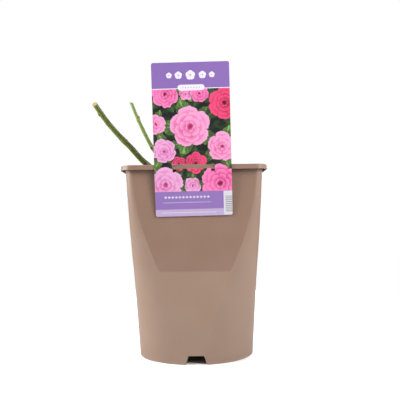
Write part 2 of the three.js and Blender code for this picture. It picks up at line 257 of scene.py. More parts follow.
# Camera: taken from the pot's outline in the 400 pixel frame
CAMERA_PLACE = (6.79, -782, 173.5)
CAMERA_PITCH = math.radians(1.874)
CAMERA_ROLL = 0.0128
FOCAL_PIXELS = 590.43
FRAME_PIXELS = 400
SENSOR = 36

# Lights: how far they stand from the height that they face, in metres
LIGHT_DISTANCE = 1.2
LIGHT_AIM = 0.15
# Each light's name, azimuth, elevation, size in metres, and the setting that holds its power
LIGHTS = (
    ("main_softbox", 45, 30, (0.7, 0.7), "main_power"),
    ("left_softbox", -85, 24, (0.8, 1.1), "left_power"),
    ("right_softbox", 90, 15, (0.7, 0.8), "right_power"),
    ("left_strip", -58, 20, (0.25, 0.9), "left_strip_power"),
    ("right_strip", 52, 10, (0.25, 0.9), "right_strip_power"),
    ("back_softbox", 180, 30, (2, 1.4), "back_power"),
)

# Inputs of a colour mix node: its share and its two colours
BLEND_SOCKETS = (0, 6, 7)
WHITE = (1, 1, 1, 1)
BLACK = (0, 0, 0, 1)


def ink(red, green, blue):
    """Linear colour of a display colour given from 0 to 255."""
    def linear(value):
        share = value / 255
        return share / 12.92 if share <= 0.04045 else ((share + 0.055) / 1.055) ** 2.4
    return (linear(red), linear(green), linear(blue))


def opaque(colour):
    """The same colour with the fourth value that a colour socket wants."""
    return (*colour[:3], 1)


PAPER_WHITE = ink(222, 218, 228)
PATCH_WHITE = ink(204, 202, 208)
SPRIG_SHADE = ink(214, 200, 228)
STRIPE_GREY = ink(136, 134, 142)
BEAD_GREY = ink(176, 166, 190)
BLOOM_SHADE = ink(20, 26, 22)
LEAFY_GROUND = (ink(18, 22, 20), ink(44, 66, 38))
# Print tones: a motif's light and deep colour, and a bloom's heart
BLOOM_TONES = (
    (ink(228, 154, 196), ink(208, 70, 138), ink(164, 26, 86)),
    (ink(236, 124, 180), ink(186, 36, 106), ink(124, 14, 58)),
    (ink(222, 160, 202), ink(198, 76, 152), ink(172, 44, 110)),
    (ink(226, 70, 118), ink(140, 16, 50), ink(90, 8, 30)),
)
LEAF_TONES = ((ink(132, 172, 88), ink(36, 62, 32)), (ink(78, 118, 62), ink(20, 36, 24)))


def mix(low, high, share):
    return low + (high - low) * share


def colour_property(name, description, default):
    return FloatVectorProperty(
        name=name, description=description, default=default, subtype="COLOR", size=3, min=0, max=1,
    )


def share_property(name, description, default):
    return FloatProperty(
        name=name, description=description, default=default, min=0, max=1, subtype="FACTOR",
    )


def power_property(name, description, default):
    return FloatProperty(name=name, description=description, default=default, min=0, unit="POWER")


def length_property(name, description, default, low, high):
    return FloatProperty(
        name=name, description=description, default=default, min=low, max=high, unit="LENGTH",
    )


class PotSettings(bpy.types.PropertyGroup):
    wall_colour: colour_property("Wall", "Colour of the rounded wall", ink(145, 119, 103))
    # Painted shade: the rim and panels are coloured darker than the wall, standing for their darker
    # reflection, and the upper wall takes the same tone under the rim
    smooth_shaded_colour: colour_property(
        "Rim and panels", "Colour of the smooth rim and panels", ink(134, 106, 91),
    )
    roughness: share_property("Roughness", "Roughness of the plastic's gloss", 0.38)


class CompostSettings(bpy.types.PropertyGroup):
    dark_colour: colour_property("Dark peat", "Colour of the damp hollows", ink(38, 27, 20))
    light_colour: colour_property("Light peat", "Colour of the drier crumbs", ink(92, 68, 48))
    lumpiness: length_property("Lumpiness", "Height of the surface's lumps", 2.4 * MM, 0, 6 * MM)
    crumbs: IntProperty(name="Crumbs", description="Loose crumbs on the surface", default=900, min=0)
    fibres: IntProperty(name="Fibres", description="Fibres that lie on it", default=150, min=0)


class CaneSettings(bpy.types.PropertyGroup):
    fresh_colour: colour_property("Young bark", "Green of this year's wood", ink(108, 133, 60))
    aged_colour: colour_property("Older bark", "Green of last year's wood", ink(94, 113, 34))
    # Painted sheen: this grey-brown is laid on the side of each cane that faces the painted light's side
    sheen_colour: colour_property("Blush", "Grey-brown of the weathered side", ink(112, 114, 78))
    bud_colour: colour_property("Buds", "Colour of the bud scales", ink(164, 84, 46))
    old_colour: colour_property("Old bark", "Grey-brown of the union and snag", ink(112, 94, 72))
    relief: length_property("Relief", "Depth of the bark's ribs", 0.12 * MM, 0, 0.5 * MM)


class LabelSettings(bpy.types.PropertyGroup):
    head_colour: colour_property("Head band", "Colour of the top band", ink(130, 100, 167))
    foot_colour: colour_property("Foot band", "Colour of the band under the picture", ink(137, 108, 172))
    pale_colour: colour_property("Pale band", "Colour of the strip along the bottom", ink(180, 160, 196))
    roughness: share_property("Roughness", "Roughness of the printed sheet's gloss", 0.38)


class StageSettings(bpy.types.PropertyGroup):
    floor_colour: colour_property("Floor", "Colour of the floor", (0.94, 0.94, 0.94))
    floor_radius: length_property("Floor size", "Radius of the round floor", 0.7, 0.2, 5)
    floor_bounce: share_property("Floor bounce", "Share of its light that the floor throws back", 0.4)
    surround: FloatProperty(
        name="Surround", description="Light from the surround, which itself looks white", default=0.09,
        min=0,
    )
    main_power: power_property("Main light", "Power of the raised light at the front right", 13.4)
    left_power: power_property("Left light", "Power of the large light at the left", 18)
    right_power: power_property("Right light", "Power of the light at the right", 3.4)
    left_strip_power: power_property(
        "Left strip", "Power of the strip light that marks the rim's left corner", 8.64,
    )
    right_strip_power: power_property(
        "Right strip", "Power of the strip light that marks the rim's right corner", 3.6,
    )
    back_power: power_property("Back light", "Power of the light behind", 32)


# Mesh helpers

def around(count):
    """Even angles round a full turn."""
    return [math.tau * number / count for number in range(count)]


def extrude_edges(bm, edges):
    """Extrudes edges where they are, and returns the new vertices and edges."""
    grown = bmesh.ops.extrude_edge_only(bm, edges=edges)["geom"]
    return [[item for item in grown if isinstance(item, kind)]
            for kind in (bmesh.types.BMVert, bmesh.types.BMEdge)]


def float_layer(bm, name):
    """The layer that holds one number for each vertex under a name."""
    layers = bm.verts.layers.float
    return layers.get(name) or layers.new(name)


def extrude_rings(bm, rings, attribute=None, values=None):
    """Extrudes one closed ring of points through the places given for each ring, and closes both
    ends. Every point keeps its number round the ring in the column layer. A named attribute takes
    one value for each ring."""
    column = bm.verts.layers.int.get("column") or bm.verts.layers.int.new("column")
    mark = float_layer(bm, attribute) if attribute else None
    verts = bmesh.ops.create_circle(bm, radius=1, segments=len(rings[0]))["verts"]
    for number, vert in enumerate(verts):
        vert[column] = number
    edges = list(dict.fromkeys(edge for vert in verts for edge in vert.link_edges))
    first_edges = edges
    loops = []
    for level, ring in enumerate(rings):
        if level:
            verts, edges = extrude_edges(bm, edges)
            verts.sort(key=lambda vert: vert[column])
        for vert, place in zip(verts, ring):
            vert.co = place
            if mark:
                vert[mark] = values[level]
        loops.append(verts)
    bmesh.ops.edgeloop_fill(bm, edges=first_edges)
    bmesh.ops.edgeloop_fill(bm, edges=edges)
    return loops


def put_in_scene(name, data):
    """A new object that holds a mesh, a light or a camera, linked to the scene."""
    holder = bpy.data.objects.new(name, data)
    bpy.context.scene.collection.objects.link(holder)
    return holder


def mesh_object(bm, name):
    """An object with a mesh, whose faces are put in order of place, because Blender extrudes them
    in an order that changes from run to run."""
    ordered = sorted(bm.faces, key=lambda face: tuple(face.calc_center_median()))
    for number, face in enumerate(ordered):
        face.index = number
    bm.faces.sort()
    mesh = bpy.data.meshes.new(name)
    bm.to_mesh(mesh)
    bm.free()
    return put_in_scene(name, mesh)


def carve(solid, cutter):
    """Cuts one closed mesh out of another and returns what is left as a new mesh."""
    body, tool = mesh_object(solid, "body"), mesh_object(cutter, "tool")
    cut = body.modifiers.new("cut", "BOOLEAN")
    cut.operation = "DIFFERENCE"
    cut.solver = "EXACT"
    cut.object = tool
    left = bmesh.new()
    left.from_object(body, bpy.context.evaluated_depsgraph_get())
    for holder in (body, tool):
        mesh = holder.data
        bpy.data.objects.remove(holder)
        bpy.data.meshes.remove(mesh)
    return left


def make_piece(bm, name, material, replaces=None, sharp=None, place=TO_ROW_FRAME):
    """Turns a mesh drawn in millimetres about the pot's axis into a piece of the part."""
    old = bpy.data.objects.get(name)
    if old:
        bpy.data.objects.remove(old)
    bmesh.ops.recalc_face_normals(bm, faces=bm.faces)
    bmesh.ops.transform(bm, matrix=place, verts=bm.verts)
    piece = mesh_object(bm, name)
    piece.data.materials.append(material)
    piece.data.shade_smooth()
    if sharp:
        piece.data.set_sharp_from_angle(angle=math.radians(sharp))
    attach(piece, "root")
    if replaces:
        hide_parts(replaces)
    return piece


# Shader node helpers

def add_node(tree, kind, inputs=None, **settings):
    """A node with its settings made, and each input either linked to a socket or given a value."""
    node = tree.nodes.new(kind)
    for name, value in settings.items():
        setattr(node, name, value)
    for key, value in (inputs or {}).items():
        if isinstance(value, bpy.types.NodeSocket):
            tree.links.new(value, node.inputs[key])
        else:
            node.inputs[key].default_value = value
    return node


def maths(tree, operation, *values, clamp=False):
    inputs = dict(enumerate(values))
    return add_node(tree, "ShaderNodeMath", inputs, operation=operation, use_clamp=clamp).outputs[0]


def times(tree, a, b):
    return maths(tree, "MULTIPLY", a, b)


def plus(tree, a, b, clamp=False):
    return maths(tree, "ADD", a, b, clamp=clamp)


def minus(tree, a, b, clamp=False):
    return maths(tree, "SUBTRACT", a, b, clamp=clamp)


def absolute(tree, value):
    return maths(tree, "ABSOLUTE", value)


def vector_maths(tree, operation, *values, output=0, **named):
    inputs = dict(enumerate(values))
    inputs.update(named)
    return add_node(tree, "ShaderNodeVectorMath", inputs, operation=operation).outputs[output]


def flat_length(tree, vector):
    """Length of a vector across the sheet, without its third value."""
    flat = vector_maths(tree, "MULTIPLY", vector, (1, 1, 0))
    return vector_maths(tree, "LENGTH", flat, output="Value")


def combine(tree, x, y, z=0):
    return add_node(tree, "ShaderNodeCombineXYZ", {0: x, 1: y, 2: z}).outputs[0]


def separate(tree, vector):
    return add_node(tree, "ShaderNodeSeparateXYZ", {0: vector}).outputs


def blend(tree, share, low, high):
    """Colour between two colours, each a socket or plain values."""
    tones = [tone if isinstance(tone, bpy.types.NodeSocket) else opaque(tone) for tone in (low, high)]
    inputs = dict(zip(BLEND_SOCKETS, (share, *tones)))
    return add_node(tree, "ShaderNodeMix", inputs, data_type="RGBA", clamp_factor=True).outputs[2]


def overlay(tree, colour, layers):
    """A colour with layers laid over it in turn, each a share and a colour."""
    for share, tone in layers:
        colour = blend(tree, share, colour, tone)
    return colour


def rescale(tree, value, low, high, to_low=0, to_high=1):
    """Value spread from one range to another and kept within it."""
    inputs = {"Value": value, "From Min": low, "From Max": high, "To Min": to_low, "To Max": to_high}
    return add_node(tree, "ShaderNodeMapRange", inputs, clamp=True).outputs[0]


def noise_at(tree, vector, scale, detail=3):
    inputs = {"Vector": vector, "Scale": scale, "Detail": detail, "Roughness": 0.55}
    return add_node(tree, "ShaderNodeTexNoise", inputs).outputs[0]


def read_attribute(tree, name, output="Fac"):
    return add_node(tree, "ShaderNodeAttribute", attribute_name=name).outputs[output]


def object_place(tree):
    return add_node(tree, "ShaderNodeTexCoord").outputs["Object"]


def build_group(name, outputs, defaults, wire):
    """A shader group with a socket for each default and each output, wired by a function."""
    group = bpy.data.node_groups.new(name, "ShaderNodeTree")
    for key, default in defaults.items():
        kind = {3: "Vector", 4: "Color"}[len(default)] if isinstance(default, tuple) else "Float"
        socket = group.interface.new_socket(
            name=key.capitalize(), in_out="INPUT", socket_type="NodeSocket" + kind,
        )
        socket.default_value = default
    for key in outputs:
        kind = "Color" if key == "Colour" else "Float"
        group.interface.new_socket(name=key, in_out="OUTPUT", socket_type="NodeSocket" + kind)
    given = group.nodes.new("NodeGroupInput").outputs
    sink = group.nodes.new("NodeGroupOutput").inputs
    results = wire(group, **{key: given[key.capitalize()] for key in defaults})
    for key, result in zip(outputs, results if isinstance(results, tuple) else (results,)):
        group.links.new(result, sink[key])
    return group


def shader_group(name, outputs=("Mask",), **defaults):
    """Turns a function that wires nodes into one that places them in a tree as a group. The group
    is built the first time, with the given defaults. A group of one output gives that socket."""
    def decorate(wire):
        @functools.wraps(wire)
        def place(tree, **inputs):
            group = bpy.data.node_groups.get(name) or build_group(name, outputs, defaults, wire)
            named = {key.capitalize(): value for key, value in inputs.items()}
            sockets = add_node(tree, "ShaderNodeGroup", named, node_tree=group).outputs
            return sockets if len(outputs) > 1 else sockets[0]
        return place
    return decorate


@shader_group("Mottle", vector=ORIGIN, scale=100, low=0.35, high=0.65)
def mottle(tree, vector, scale, low, high):
    """Soft patches over a surface at one scale, for colour and for gloss."""
    return rescale(tree, noise_at(tree, vector, scale, detail=4), low, high)


@shader_group("Grain", ("Height",), vector=ORIGIN, scale=2000)
def grain(tree, vector, scale):
    """Fine grain of a moulded or fibrous surface, as a height."""
    fine = noise_at(tree, vector, scale, detail=2)
    coarse = noise_at(tree, vector, times(tree, scale, 0.18), detail=2)
    return plus(tree, times(tree, fine, 0.6), times(tree, coarse, 0.4))


@shader_group("Stem streaks", vector=ORIGIN, width=1, length=12, low=0.4, high=0.6)
def streaks(tree, vector, width, length, low, high):
    """Streaks that run along a stem, from its own straightened coordinates in millimetres."""
    across, along = (maths(tree, "DIVIDE", 1, size) for size in (width, length))
    drawn = vector_maths(tree, "MULTIPLY", vector, combine(tree, across, across, along))
    return rescale(tree, noise_at(tree, drawn, 1, detail=4), low, high)


def new_material(name, shader_values):
    """A material and its tree, with the shader's plain values set on the shader itself."""
    old = bpy.data.materials.get(name)
    if old:
        bpy.data.materials.remove(old)
    material = bpy.data.materials.new(name)
    material.use_nodes = True
    shader = material.node_tree.nodes["Principled BSDF"]
    for key, value in shader_values.items():
        shader.inputs[key].default_value = value
    return material, material.node_tree


def finish(material, colour, roughness=None, height=None, depth=0, strength=1):
    """Links what changes over a surface to its shader. Depth is what a height of one stands for,
    in millimetres."""
    tree = material.node_tree
    shader = tree.nodes["Principled BSDF"].inputs
    tree.links.new(colour, shader["Base Color"])
    if roughness:
        tree.links.new(roughness, shader["Roughness"])
    if height:
        inputs = {"Height": height, "Distance": depth * MM, "Strength": strength}
        tree.links.new(add_node(tree, "ShaderNodeBump", inputs).outputs[0], shader["Normal"])
    return material


# Materials

def pot_plastic(settings):
    """Satin moulded plastic, smoother on the rim and the flat panels, which are painted darker as a
    stand-in for their darker reflection. The upper wall takes that painted shade towards the rim,
    which softens the panels' edges there, and there is some dust round the foot."""
    material, tree = new_material("Taupe plastic", {"IOR": 1.49})
    place = object_place(tree)
    height = separate(tree, place)["Z"]
    clouds = mottle(tree, vector=place, scale=26, low=0.1, high=0.9)
    specks = mottle(tree, vector=place, scale=420, low=0.42, high=0.75)
    fade = rescale(tree, height, BELLY[0] * MM, (BELLY[0] + PANEL_FADE) * MM)
    smooth = times(tree, read_attribute(tree, "smooth"), fade)
    # Painted shade under the rim: the upper wall darkens towards it
    under_rim_shade = rescale(
        tree, height, UNDER_RIM_SHADE["low"] * MM, UNDER_RIM_SHADE["high"] * MM, 0, UNDER_RIM_SHADE["share"],
    )
    dust = rescale(tree, height, DUST["height"] * MM, 0, 0, DUST["share"])
    # The wall's own tone, then the darker tone of rim and panels and the shade under the rim, both painted
    # in, then mottling, specks and dust
    colour = overlay(tree, settings.wall_colour, (
        (maths(tree, "MAXIMUM", smooth, under_rim_shade), settings.smooth_shaded_colour),
        (times(tree, clouds, 0.12), ink(190, 170, 152)),
        (times(tree, specks, 0.05), ink(120, 98, 84)),
        (times(tree, dust, clouds), ink(188, 172, 152)),
    ))
    gloss = maths(tree, "MULTIPLY_ADD", smooth, -0.1, settings.roughness)
    gloss = plus(tree, gloss, times(tree, clouds, 0.05))
    return finish(material, colour, gloss, grain(tree, vector=place, scale=2600), 0.02, 0.5)


def peat(settings):
    """Damp compost, dark in its hollows and paler where crumbs have dried."""
    material, tree = new_material("Peat", {"IOR": 1.4, "Specular IOR Level": 0.3})
    place = object_place(tree)
    lumps = mottle(tree, vector=place, scale=160, low=0.3, high=0.7)
    crumbs = mottle(tree, vector=place, scale=900, low=0.35, high=0.7)
    colour = blend(tree, times(tree, lumps, crumbs), settings.dark_colour, settings.light_colour)
    gloss = rescale(tree, lumps, 0, 1, 0.75, 0.98)
    return finish(material, colour, gloss, grain(tree, vector=place, scale=1800), 0.35)


def peat_fibre():
    """Pale dry fibre."""
    material, tree = new_material("Peat fibre", {"IOR": 1.4})
    patches = mottle(tree, vector=object_place(tree), scale=300, low=0.35, high=0.65)
    colour = blend(tree, patches, ink(74, 52, 34), ink(126, 98, 66))
    return finish(material, colour, rescale(tree, patches, 0, 1, 0.7, 0.9))


def green_bark(name, settings, young, contrast):
    """Smooth green bark with painted light and shade: paler on the side turned from the painted light's
    side, a dark streak of painted shade on the front, and a greyed upper side of painted sheen. It has
    a woody foot, stronger on the side turned away, with brown mottling, pale specks and leaf scars.
    An old cane has more contrast than a young one."""
    material, tree = new_material(name, {"IOR": 1.42, "Specular IOR Level": 0.4})
    stem = read_attribute(tree, "stem", "Vector")
    node, weather, ripe = (read_attribute(tree, key) for key in ("node", "weather", "ripe"))
    lines = streaks(tree, vector=stem, width=1.7, length=40, low=0.3, high=0.7)
    patches = streaks(tree, vector=stem, width=3.4, length=11, low=0.44, high=0.62)
    specks = streaks(tree, vector=stem, width=0.5, length=2.4, low=0.64, high=0.76)
    ribs = streaks(tree, vector=stem, width=0.35, length=6, low=0.2, high=0.8)
    # Painted light and shade: how far a spot faces the painted light's side, wandering a little along the
    # stem's lines
    wander = maths(tree, "MULTIPLY_ADD", lines, 0.16, minus(tree, weather, 0.08))
    away = maths(tree, "DIVIDE", minus(tree, wander, SHADE_STREAK["middle"]), SHADE_STREAK["half_width"])
    shade_streak = minus(tree, 1, absolute(tree, away), clamp=True)
    upper_sheen = times(tree, rescale(tree, wander, 0.55, 0.8), mix(0.3, 0.85, contrast))
    woody = times(tree, rescale(tree, ripe, 0.3, 0.75), mix(0.1, 0.85, contrast))
    woody = times(tree, woody, rescale(tree, wander, 0.7, 0.1, 0.5, 1))
    brown = times(tree, patches, mix(0.1, 0.45, contrast))
    # Painted light on the paler side turned away, painted shade in the dark streak, and painted sheen on the
    # upper side
    colour = overlay(tree, [min(1, value * 1.3) for value in young], (
        (rescale(tree, wander, -0.35, 0.3), young),
        (shade_streak, [value * mix(0.75, 0.42, contrast) for value in young]),
        (upper_sheen, settings.sheen_colour),
        (woody, ink(60, 56, 20)),
        (brown, ink(66, 52, 20)),
        (times(tree, specks, 0.35), ink(140, 124, 84)),
        (times(tree, node, mix(0.9, 0.5, contrast)), ink(158, 142, 84)),
    ))
    gloss = rescale(tree, brown, 0, 0.6, 0.42, 0.62)
    return finish(material, colour, gloss, maths(tree, "MULTIPLY_ADD", specks, 0.3, ribs), 0.03)


def old_bark(settings):
    """Rough grey-brown bark with dark cracks along it."""
    material, tree = new_material("Old bark", {"IOR": 1.42})
    stem = read_attribute(tree, "stem", "Vector")
    cracks = streaks(tree, vector=stem, width=0.9, length=7, low=0.36, high=0.52)
    patches = streaks(tree, vector=stem, width=4, length=5, low=0.4, high=0.65)
    base = blend(tree, patches, settings.old_colour, ink(134, 120, 96))
    colour = blend(tree, cracks, ink(54, 40, 28), base)
    return finish(material, colour, rescale(tree, cracks, 0, 1, 0.95, 0.78), cracks, 0.3)


def cut_wood(name, wood, pith):
    """Pale wood across a pruning cut, with its pith and the green line under the bark."""
    material, tree = new_material(name, {"IOR": 1.4})
    reach = read_attribute(tree, "reach")
    fibres = mottle(tree, vector=object_place(tree), scale=900, low=0.35, high=0.7)
    colour = overlay(tree, wood, (
        (times(tree, fibres, 0.35), [value * 0.75 for value in wood]),
        (rescale(tree, reach, 0.42, 0.3), pith),
        (rescale(tree, reach, 0.88, 0.98), ink(150, 160, 96)),
    ))
    return finish(material, colour, rescale(tree, fibres, 0, 1, 0.6, 0.8), fibres, 0.06)


def bud_scales(settings):
    """Red-brown bud scales, greener at the base and nearly black on dormant buds."""
    material, tree = new_material("Bud scales", {"IOR": 1.45})
    reach = read_attribute(tree, "reach")
    patches = mottle(tree, vector=object_place(tree), scale=700, low=0.35, high=0.7)
    colour = overlay(tree, settings.bud_colour, (
        (patches, [value * 0.5 for value in settings.bud_colour]),
        (rescale(tree, reach, 0.35, 0), ink(124, 122, 62)),
        (read_attribute(tree, "age"), ink(52, 36, 32)),
    ))
    return finish(material, colour, rescale(tree, patches, 0, 1, 0.42, 0.6), patches, 0.05)


# Pot

def pot_section(z):
    """Half width and corner radius of the pot's outside at a height."""
    if z <= BELLY[0]:
        share = z / BELLY[0]
        return mix(FOOT[1], BELLY[1], share), mix(FOOT[2], BELLY[2], share)
    share = (z - BELLY[0]) / (NECK[0] - BELLY[0])
    corner = NECK[2] + (BELLY[2] - NECK[2]) * (1 - share) ** CORNER_FALL
    return mix(BELLY[1], NECK[1], share), corner


def shrink(section, distance):
    """A section drawn in by a distance, with its corners drawn in alike."""
    half = section[0] - distance
    return half, min(half, max(section[1] - distance, LEAST_CORNER))


def section_ring(section, z):
    """Points round a rounded square, none of them in the middle of a side."""
    half, corner = section
    flat = half - corner
    ring = []
    for number in range(POT_COLUMNS):
        angle = (number + 0.5) * 2 * math.pi / POT_COLUMNS
        x = math.copysign(flat, math.cos(angle)) + corner * math.cos(angle)
        y = math.copysign(flat, math.sin(angle)) + corner * math.sin(angle)
        ring.append(Vector((x, y, z)))
    return ring


def round_edge(section, z, radius, start, end, steps=4):
    """Rings round an edge, about a line that lies a radius inside the section at z."""
    rings = []
    for step in range(steps + 1):
        angle = math.radians(mix(start, end, step / steps))
        inset, rise = radius * (1 - math.cos(angle)), radius * math.sin(angle)
        rings.append(section_ring(shrink(section, inset), z + rise))
    return rings


def wall_heights(low, high, step):
    """Heights up a wall with one at the belly, where the outline bends."""
    heights = []
    for start, end in ((low, BELLY[0]), (BELLY[0], high)):
        count = max(1, round((end - start) / step))
        heights += [mix(start, end, number / count) for number in range(count)]
    return heights + [high]


def pot_rings():
    """The pot's closed outline, from the middle of its floor's underside, out and over the rim,
    and down the inside to the floor."""
    sole = pot_section(0)
    ring = shrink(sole, FOOT_RING)
    throat = shrink(pot_section(NECK[0]), WALL)
    skirt = shrink(RIM, WALL)
    rim_face = shrink(RIM, RIM_BEAD)
    lip = shrink(throat, -2 * EDGE_ROUNDING)
    return [
        section_ring(FLOOR_MIDDLE, FLOOR_UNDERSIDE),
        section_ring(ring, FLOOR_UNDERSIDE),
        section_ring(ring, EDGE_ROUNDING),
        section_ring(shrink(sole, FOOT_RING - EDGE_ROUNDING), 0),
        *round_edge(sole, EDGE_ROUNDING, EDGE_ROUNDING, -90, 0),
        *(section_ring(pot_section(z), z) for z in wall_heights(WALL_START, NECK[0], WALL_STEP)),
        section_ring(pot_section(NECK[0]), RIM_TOP - WALL),
        section_ring(skirt, RIM_TOP - WALL),
        section_ring(skirt, NECK[0] + SKIRT_EDGE),
        *round_edge(RIM, NECK[0] + EDGE_ROUNDING, EDGE_ROUNDING, -90, 0),
        section_ring(RIM, NECK[0] + RIM_BEAD_HEIGHT - RIM_BEAD),
        section_ring(rim_face, NECK[0] + RIM_BEAD_HEIGHT),
        *round_edge(rim_face, RIM_TOP - RIM_ROUNDING, RIM_ROUNDING, 0, 90, 6),
        *round_edge(lip, RIM_TOP - EDGE_ROUNDING, EDGE_ROUNDING, 90, 180),
        *(section_ring(shrink(pot_section(z), WALL), z)
          for z in reversed(wall_heights(FLOOR_TOP, NECK[0], INSIDE_STEP))),
        section_ring(FLOOR_MIDDLE, FLOOR_TOP),
    ]


def panel_faces(bm):
    """Faces of the four flat panels, each between the two columns beside a side's middle."""
    column = bm.verts.layers.int["column"]
    quarter = POT_COLUMNS // 4
    sides = [{(side * quarter - 1) % POT_COLUMNS, side * quarter} for side in range(4)]
    found = [[] for _ in sides]
    for face in bm.faces:
        middle = face.calc_center_median()
        outer = max(abs(middle.x), abs(middle.y)) > pot_section(middle.z)[0] - WALL / 2
        if outer and BELLY[0] < middle.z < NECK[0]:
            columns = {vert[column] for vert in face.verts}
            for side, pair in enumerate(sides):
                if columns == pair:
                    found[side].append(face)
    return found


def notch_bar(turn):
    """A bar as wide as the notch at each height, through both sides of the foot ring."""
    bm = bmesh.new()
    bmesh.ops.create_cube(bm, size=2)
    reach, below = 1.1 * FOOT[1], 1
    flare = (NOTCH_BOTTOM - NOTCH_TOP) / 2 / NOTCH_HEIGHT
    for vert in bm.verts:
        high = vert.co.z > 0
        half = NOTCH_TOP / 2 if high else NOTCH_BOTTOM / 2 + flare * below
        vert.co = Vector((vert.co.x * half, vert.co.y * reach, NOTCH_HEIGHT if high else -below))
    bmesh.ops.rotate(bm, verts=bm.verts, matrix=Matrix.Rotation(math.radians(turn), 3, "Z"))
    return bm


def drain_pegs():
    """Round pegs through the floor, a circle of them and one in the middle."""
    bm = bmesh.new()
    for circle, angle in [(DRAIN_CIRCLE, angle) for angle in around(DRAIN_COUNT)] + [(0, 0)]:
        place = (circle * math.cos(angle), circle * math.sin(angle), (FLOOR_TOP + FLOOR_UNDERSIDE) / 2)
        bmesh.ops.create_cone(
            bm, cap_ends=True, segments=32, radius1=DRAIN_RADIUS, radius2=DRAIN_RADIUS,
            depth=3 * (FLOOR_TOP - FLOOR_UNDERSIDE), matrix=Matrix.Translation(place),
        )
    return bm


def build_pot(settings):
    """The whole pot, its panels set in and its notches and drain holes cut."""
    bm = bmesh.new()
    extrude_rings(bm, pot_rings())
    bmesh.ops.recalc_face_normals(bm, faces=bm.faces)
    # Marks the smoother finish of the rim and panels, which the material also paints darker as painted shade
    smooth = bm.faces.layers.float.new("smooth")
    for face in bm.faces:
        face[smooth] = 1 if face.calc_center_median().z > NECK[0] else 0
    for faces in panel_faces(bm):
        bmesh.ops.inset_region(
            bm, faces=faces, thickness=PANEL_MARGIN, depth=-PANEL_DEPTH, use_even_offset=True,
        )
        for face in faces:
            face[smooth] = 1
    for cutter in (notch_bar(0), notch_bar(90), drain_pegs()):
        bm = carve(bm, cutter)
    pot = make_piece(
        bm, "moulded_pot", pot_plastic(settings), "pot", sharp=SHARP_EDGES["pot"],
    )
    weighted = pot.modifiers.new("even shading", "WEIGHTED_NORMAL")
    weighted.keep_sharp = True
    weighted.weight = 60


# Compost

def reach_of(section, direction):
    """Distance from the middle of a rounded square to its edge, along a direction."""
    half, corner = section
    x, y = sorted((abs(direction.x), abs(direction.y)), reverse=True)
    flat = half - corner
    if half * y / x <= flat:
        return half / x
    along = flat * (x + y)
    return along + math.sqrt(max(0, along * along - (2 * flat * flat - corner * corner)))


def compost_height(x, y, size):
    """Height of the surface: it sinks by the wall, and carries broad lumps, lumps and crumbs."""
    place = Vector((x, y, 0))
    broad, middling, fine = (place / width for width in LUMP_WIDTHS)
    reliefs = (noise.noise(broad), noise.fractal(middling, 0.9, 2.1, 4), abs(noise.noise(fine + CRUMB_SHIFT)))
    lumps = size * sum(share * relief for share, relief in zip(LUMP_SHARES, reliefs))
    edge = max(abs(x), abs(y)) / pot_section(COMPOST_TOP)[0]
    fade = 1 - max(0, edge - LUMP_FADE["start"]) / LUMP_FADE["span"]
    even = COMPOST_TOP - LUMP_ROOM * size - COMPOST_SINK * edge ** 6
    return even + lumps * max(LUMP_FADE["least"], fade)


def build_compost_bed(settings, earth):
    """The lumpy surface, stretched from a square grid to the pot's inside, and walls down from it."""
    size = settings.lumpiness / MM
    clear = WALL + COMPOST_GAP
    edge_z = COMPOST_TOP - COMPOST_SINK
    bm = bmesh.new()
    bmesh.ops.create_grid(bm, x_segments=COMPOST_CELLS, y_segments=COMPOST_CELLS, size=1)
    section = shrink(pot_section(edge_z), clear)
    for vert in bm.verts:
        radius = vert.co.xy.length
        x = y = 0
        if radius > HAIR:
            direction = vert.co.xy / radius
            square_reach = 1 / max(abs(direction.x), abs(direction.y))
            x, y = direction * radius * reach_of(section, direction) / square_reach
        vert.co = Vector((x, y, compost_height(x, y, size)))
    edges = [edge for edge in bm.edges if edge.is_boundary]
    for z in COMPOST_LEVELS:
        verts, edges = extrude_edges(bm, edges)
        lower = shrink(pot_section(z), clear)
        for vert in verts:
            direction = vert.co.xy.normalized()
            vert.co = (*(direction * reach_of(lower, direction)), z)
    bmesh.ops.edgeloop_fill(bm, edges=edges)
    make_piece(bm, "compost_bed", earth, "compost", sharp=SHARP_EDGES["compost"])


def compost_reach(margin):
    """Half the width of the compost's surface, less a margin by the pot's wall."""
    return shrink(pot_section(COMPOST_TOP - COMPOST_SINK), WALL + margin)[0]


def scattered_place(rng, size):
    """A place on the compost, even over its square top."""
    half = compost_reach(3)
    x, y = rng.uniform(-half, half), rng.uniform(-half, half)
    return Vector((x, y, compost_height(x, y, size)))


def build_crumbs(settings, earth):
    """Loose crumbs that lie half sunk in the surface."""
    rng = random.Random(SEEDS["crumbs"])
    size = settings.lumpiness / MM
    bm = bmesh.new()
    for _ in range(settings.crumbs):
        place = scattered_place(rng, size)
        radius = CRUMB["least"] + CRUMB["spread"] * rng.random() ** 3
        squash = Matrix.Diagonal((rng.uniform(0.7, 1.4), rng.uniform(0.7, 1.2), rng.uniform(0.5, 0.9), 1))
        turn = Matrix.Rotation(rng.uniform(0, math.tau), 4, "Z")
        crumb = bmesh.ops.create_icosphere(
            bm, subdivisions=1, radius=radius, matrix=Matrix.Translation(place) @ turn @ squash,
        )
        for vert in crumb["verts"]:
            dent = Vector([rng.uniform(-1, 1) for _ in range(3)])
            vert.co += dent * radius * CRUMB["dent"]
    make_piece(bm, "compost_crumbs", earth)


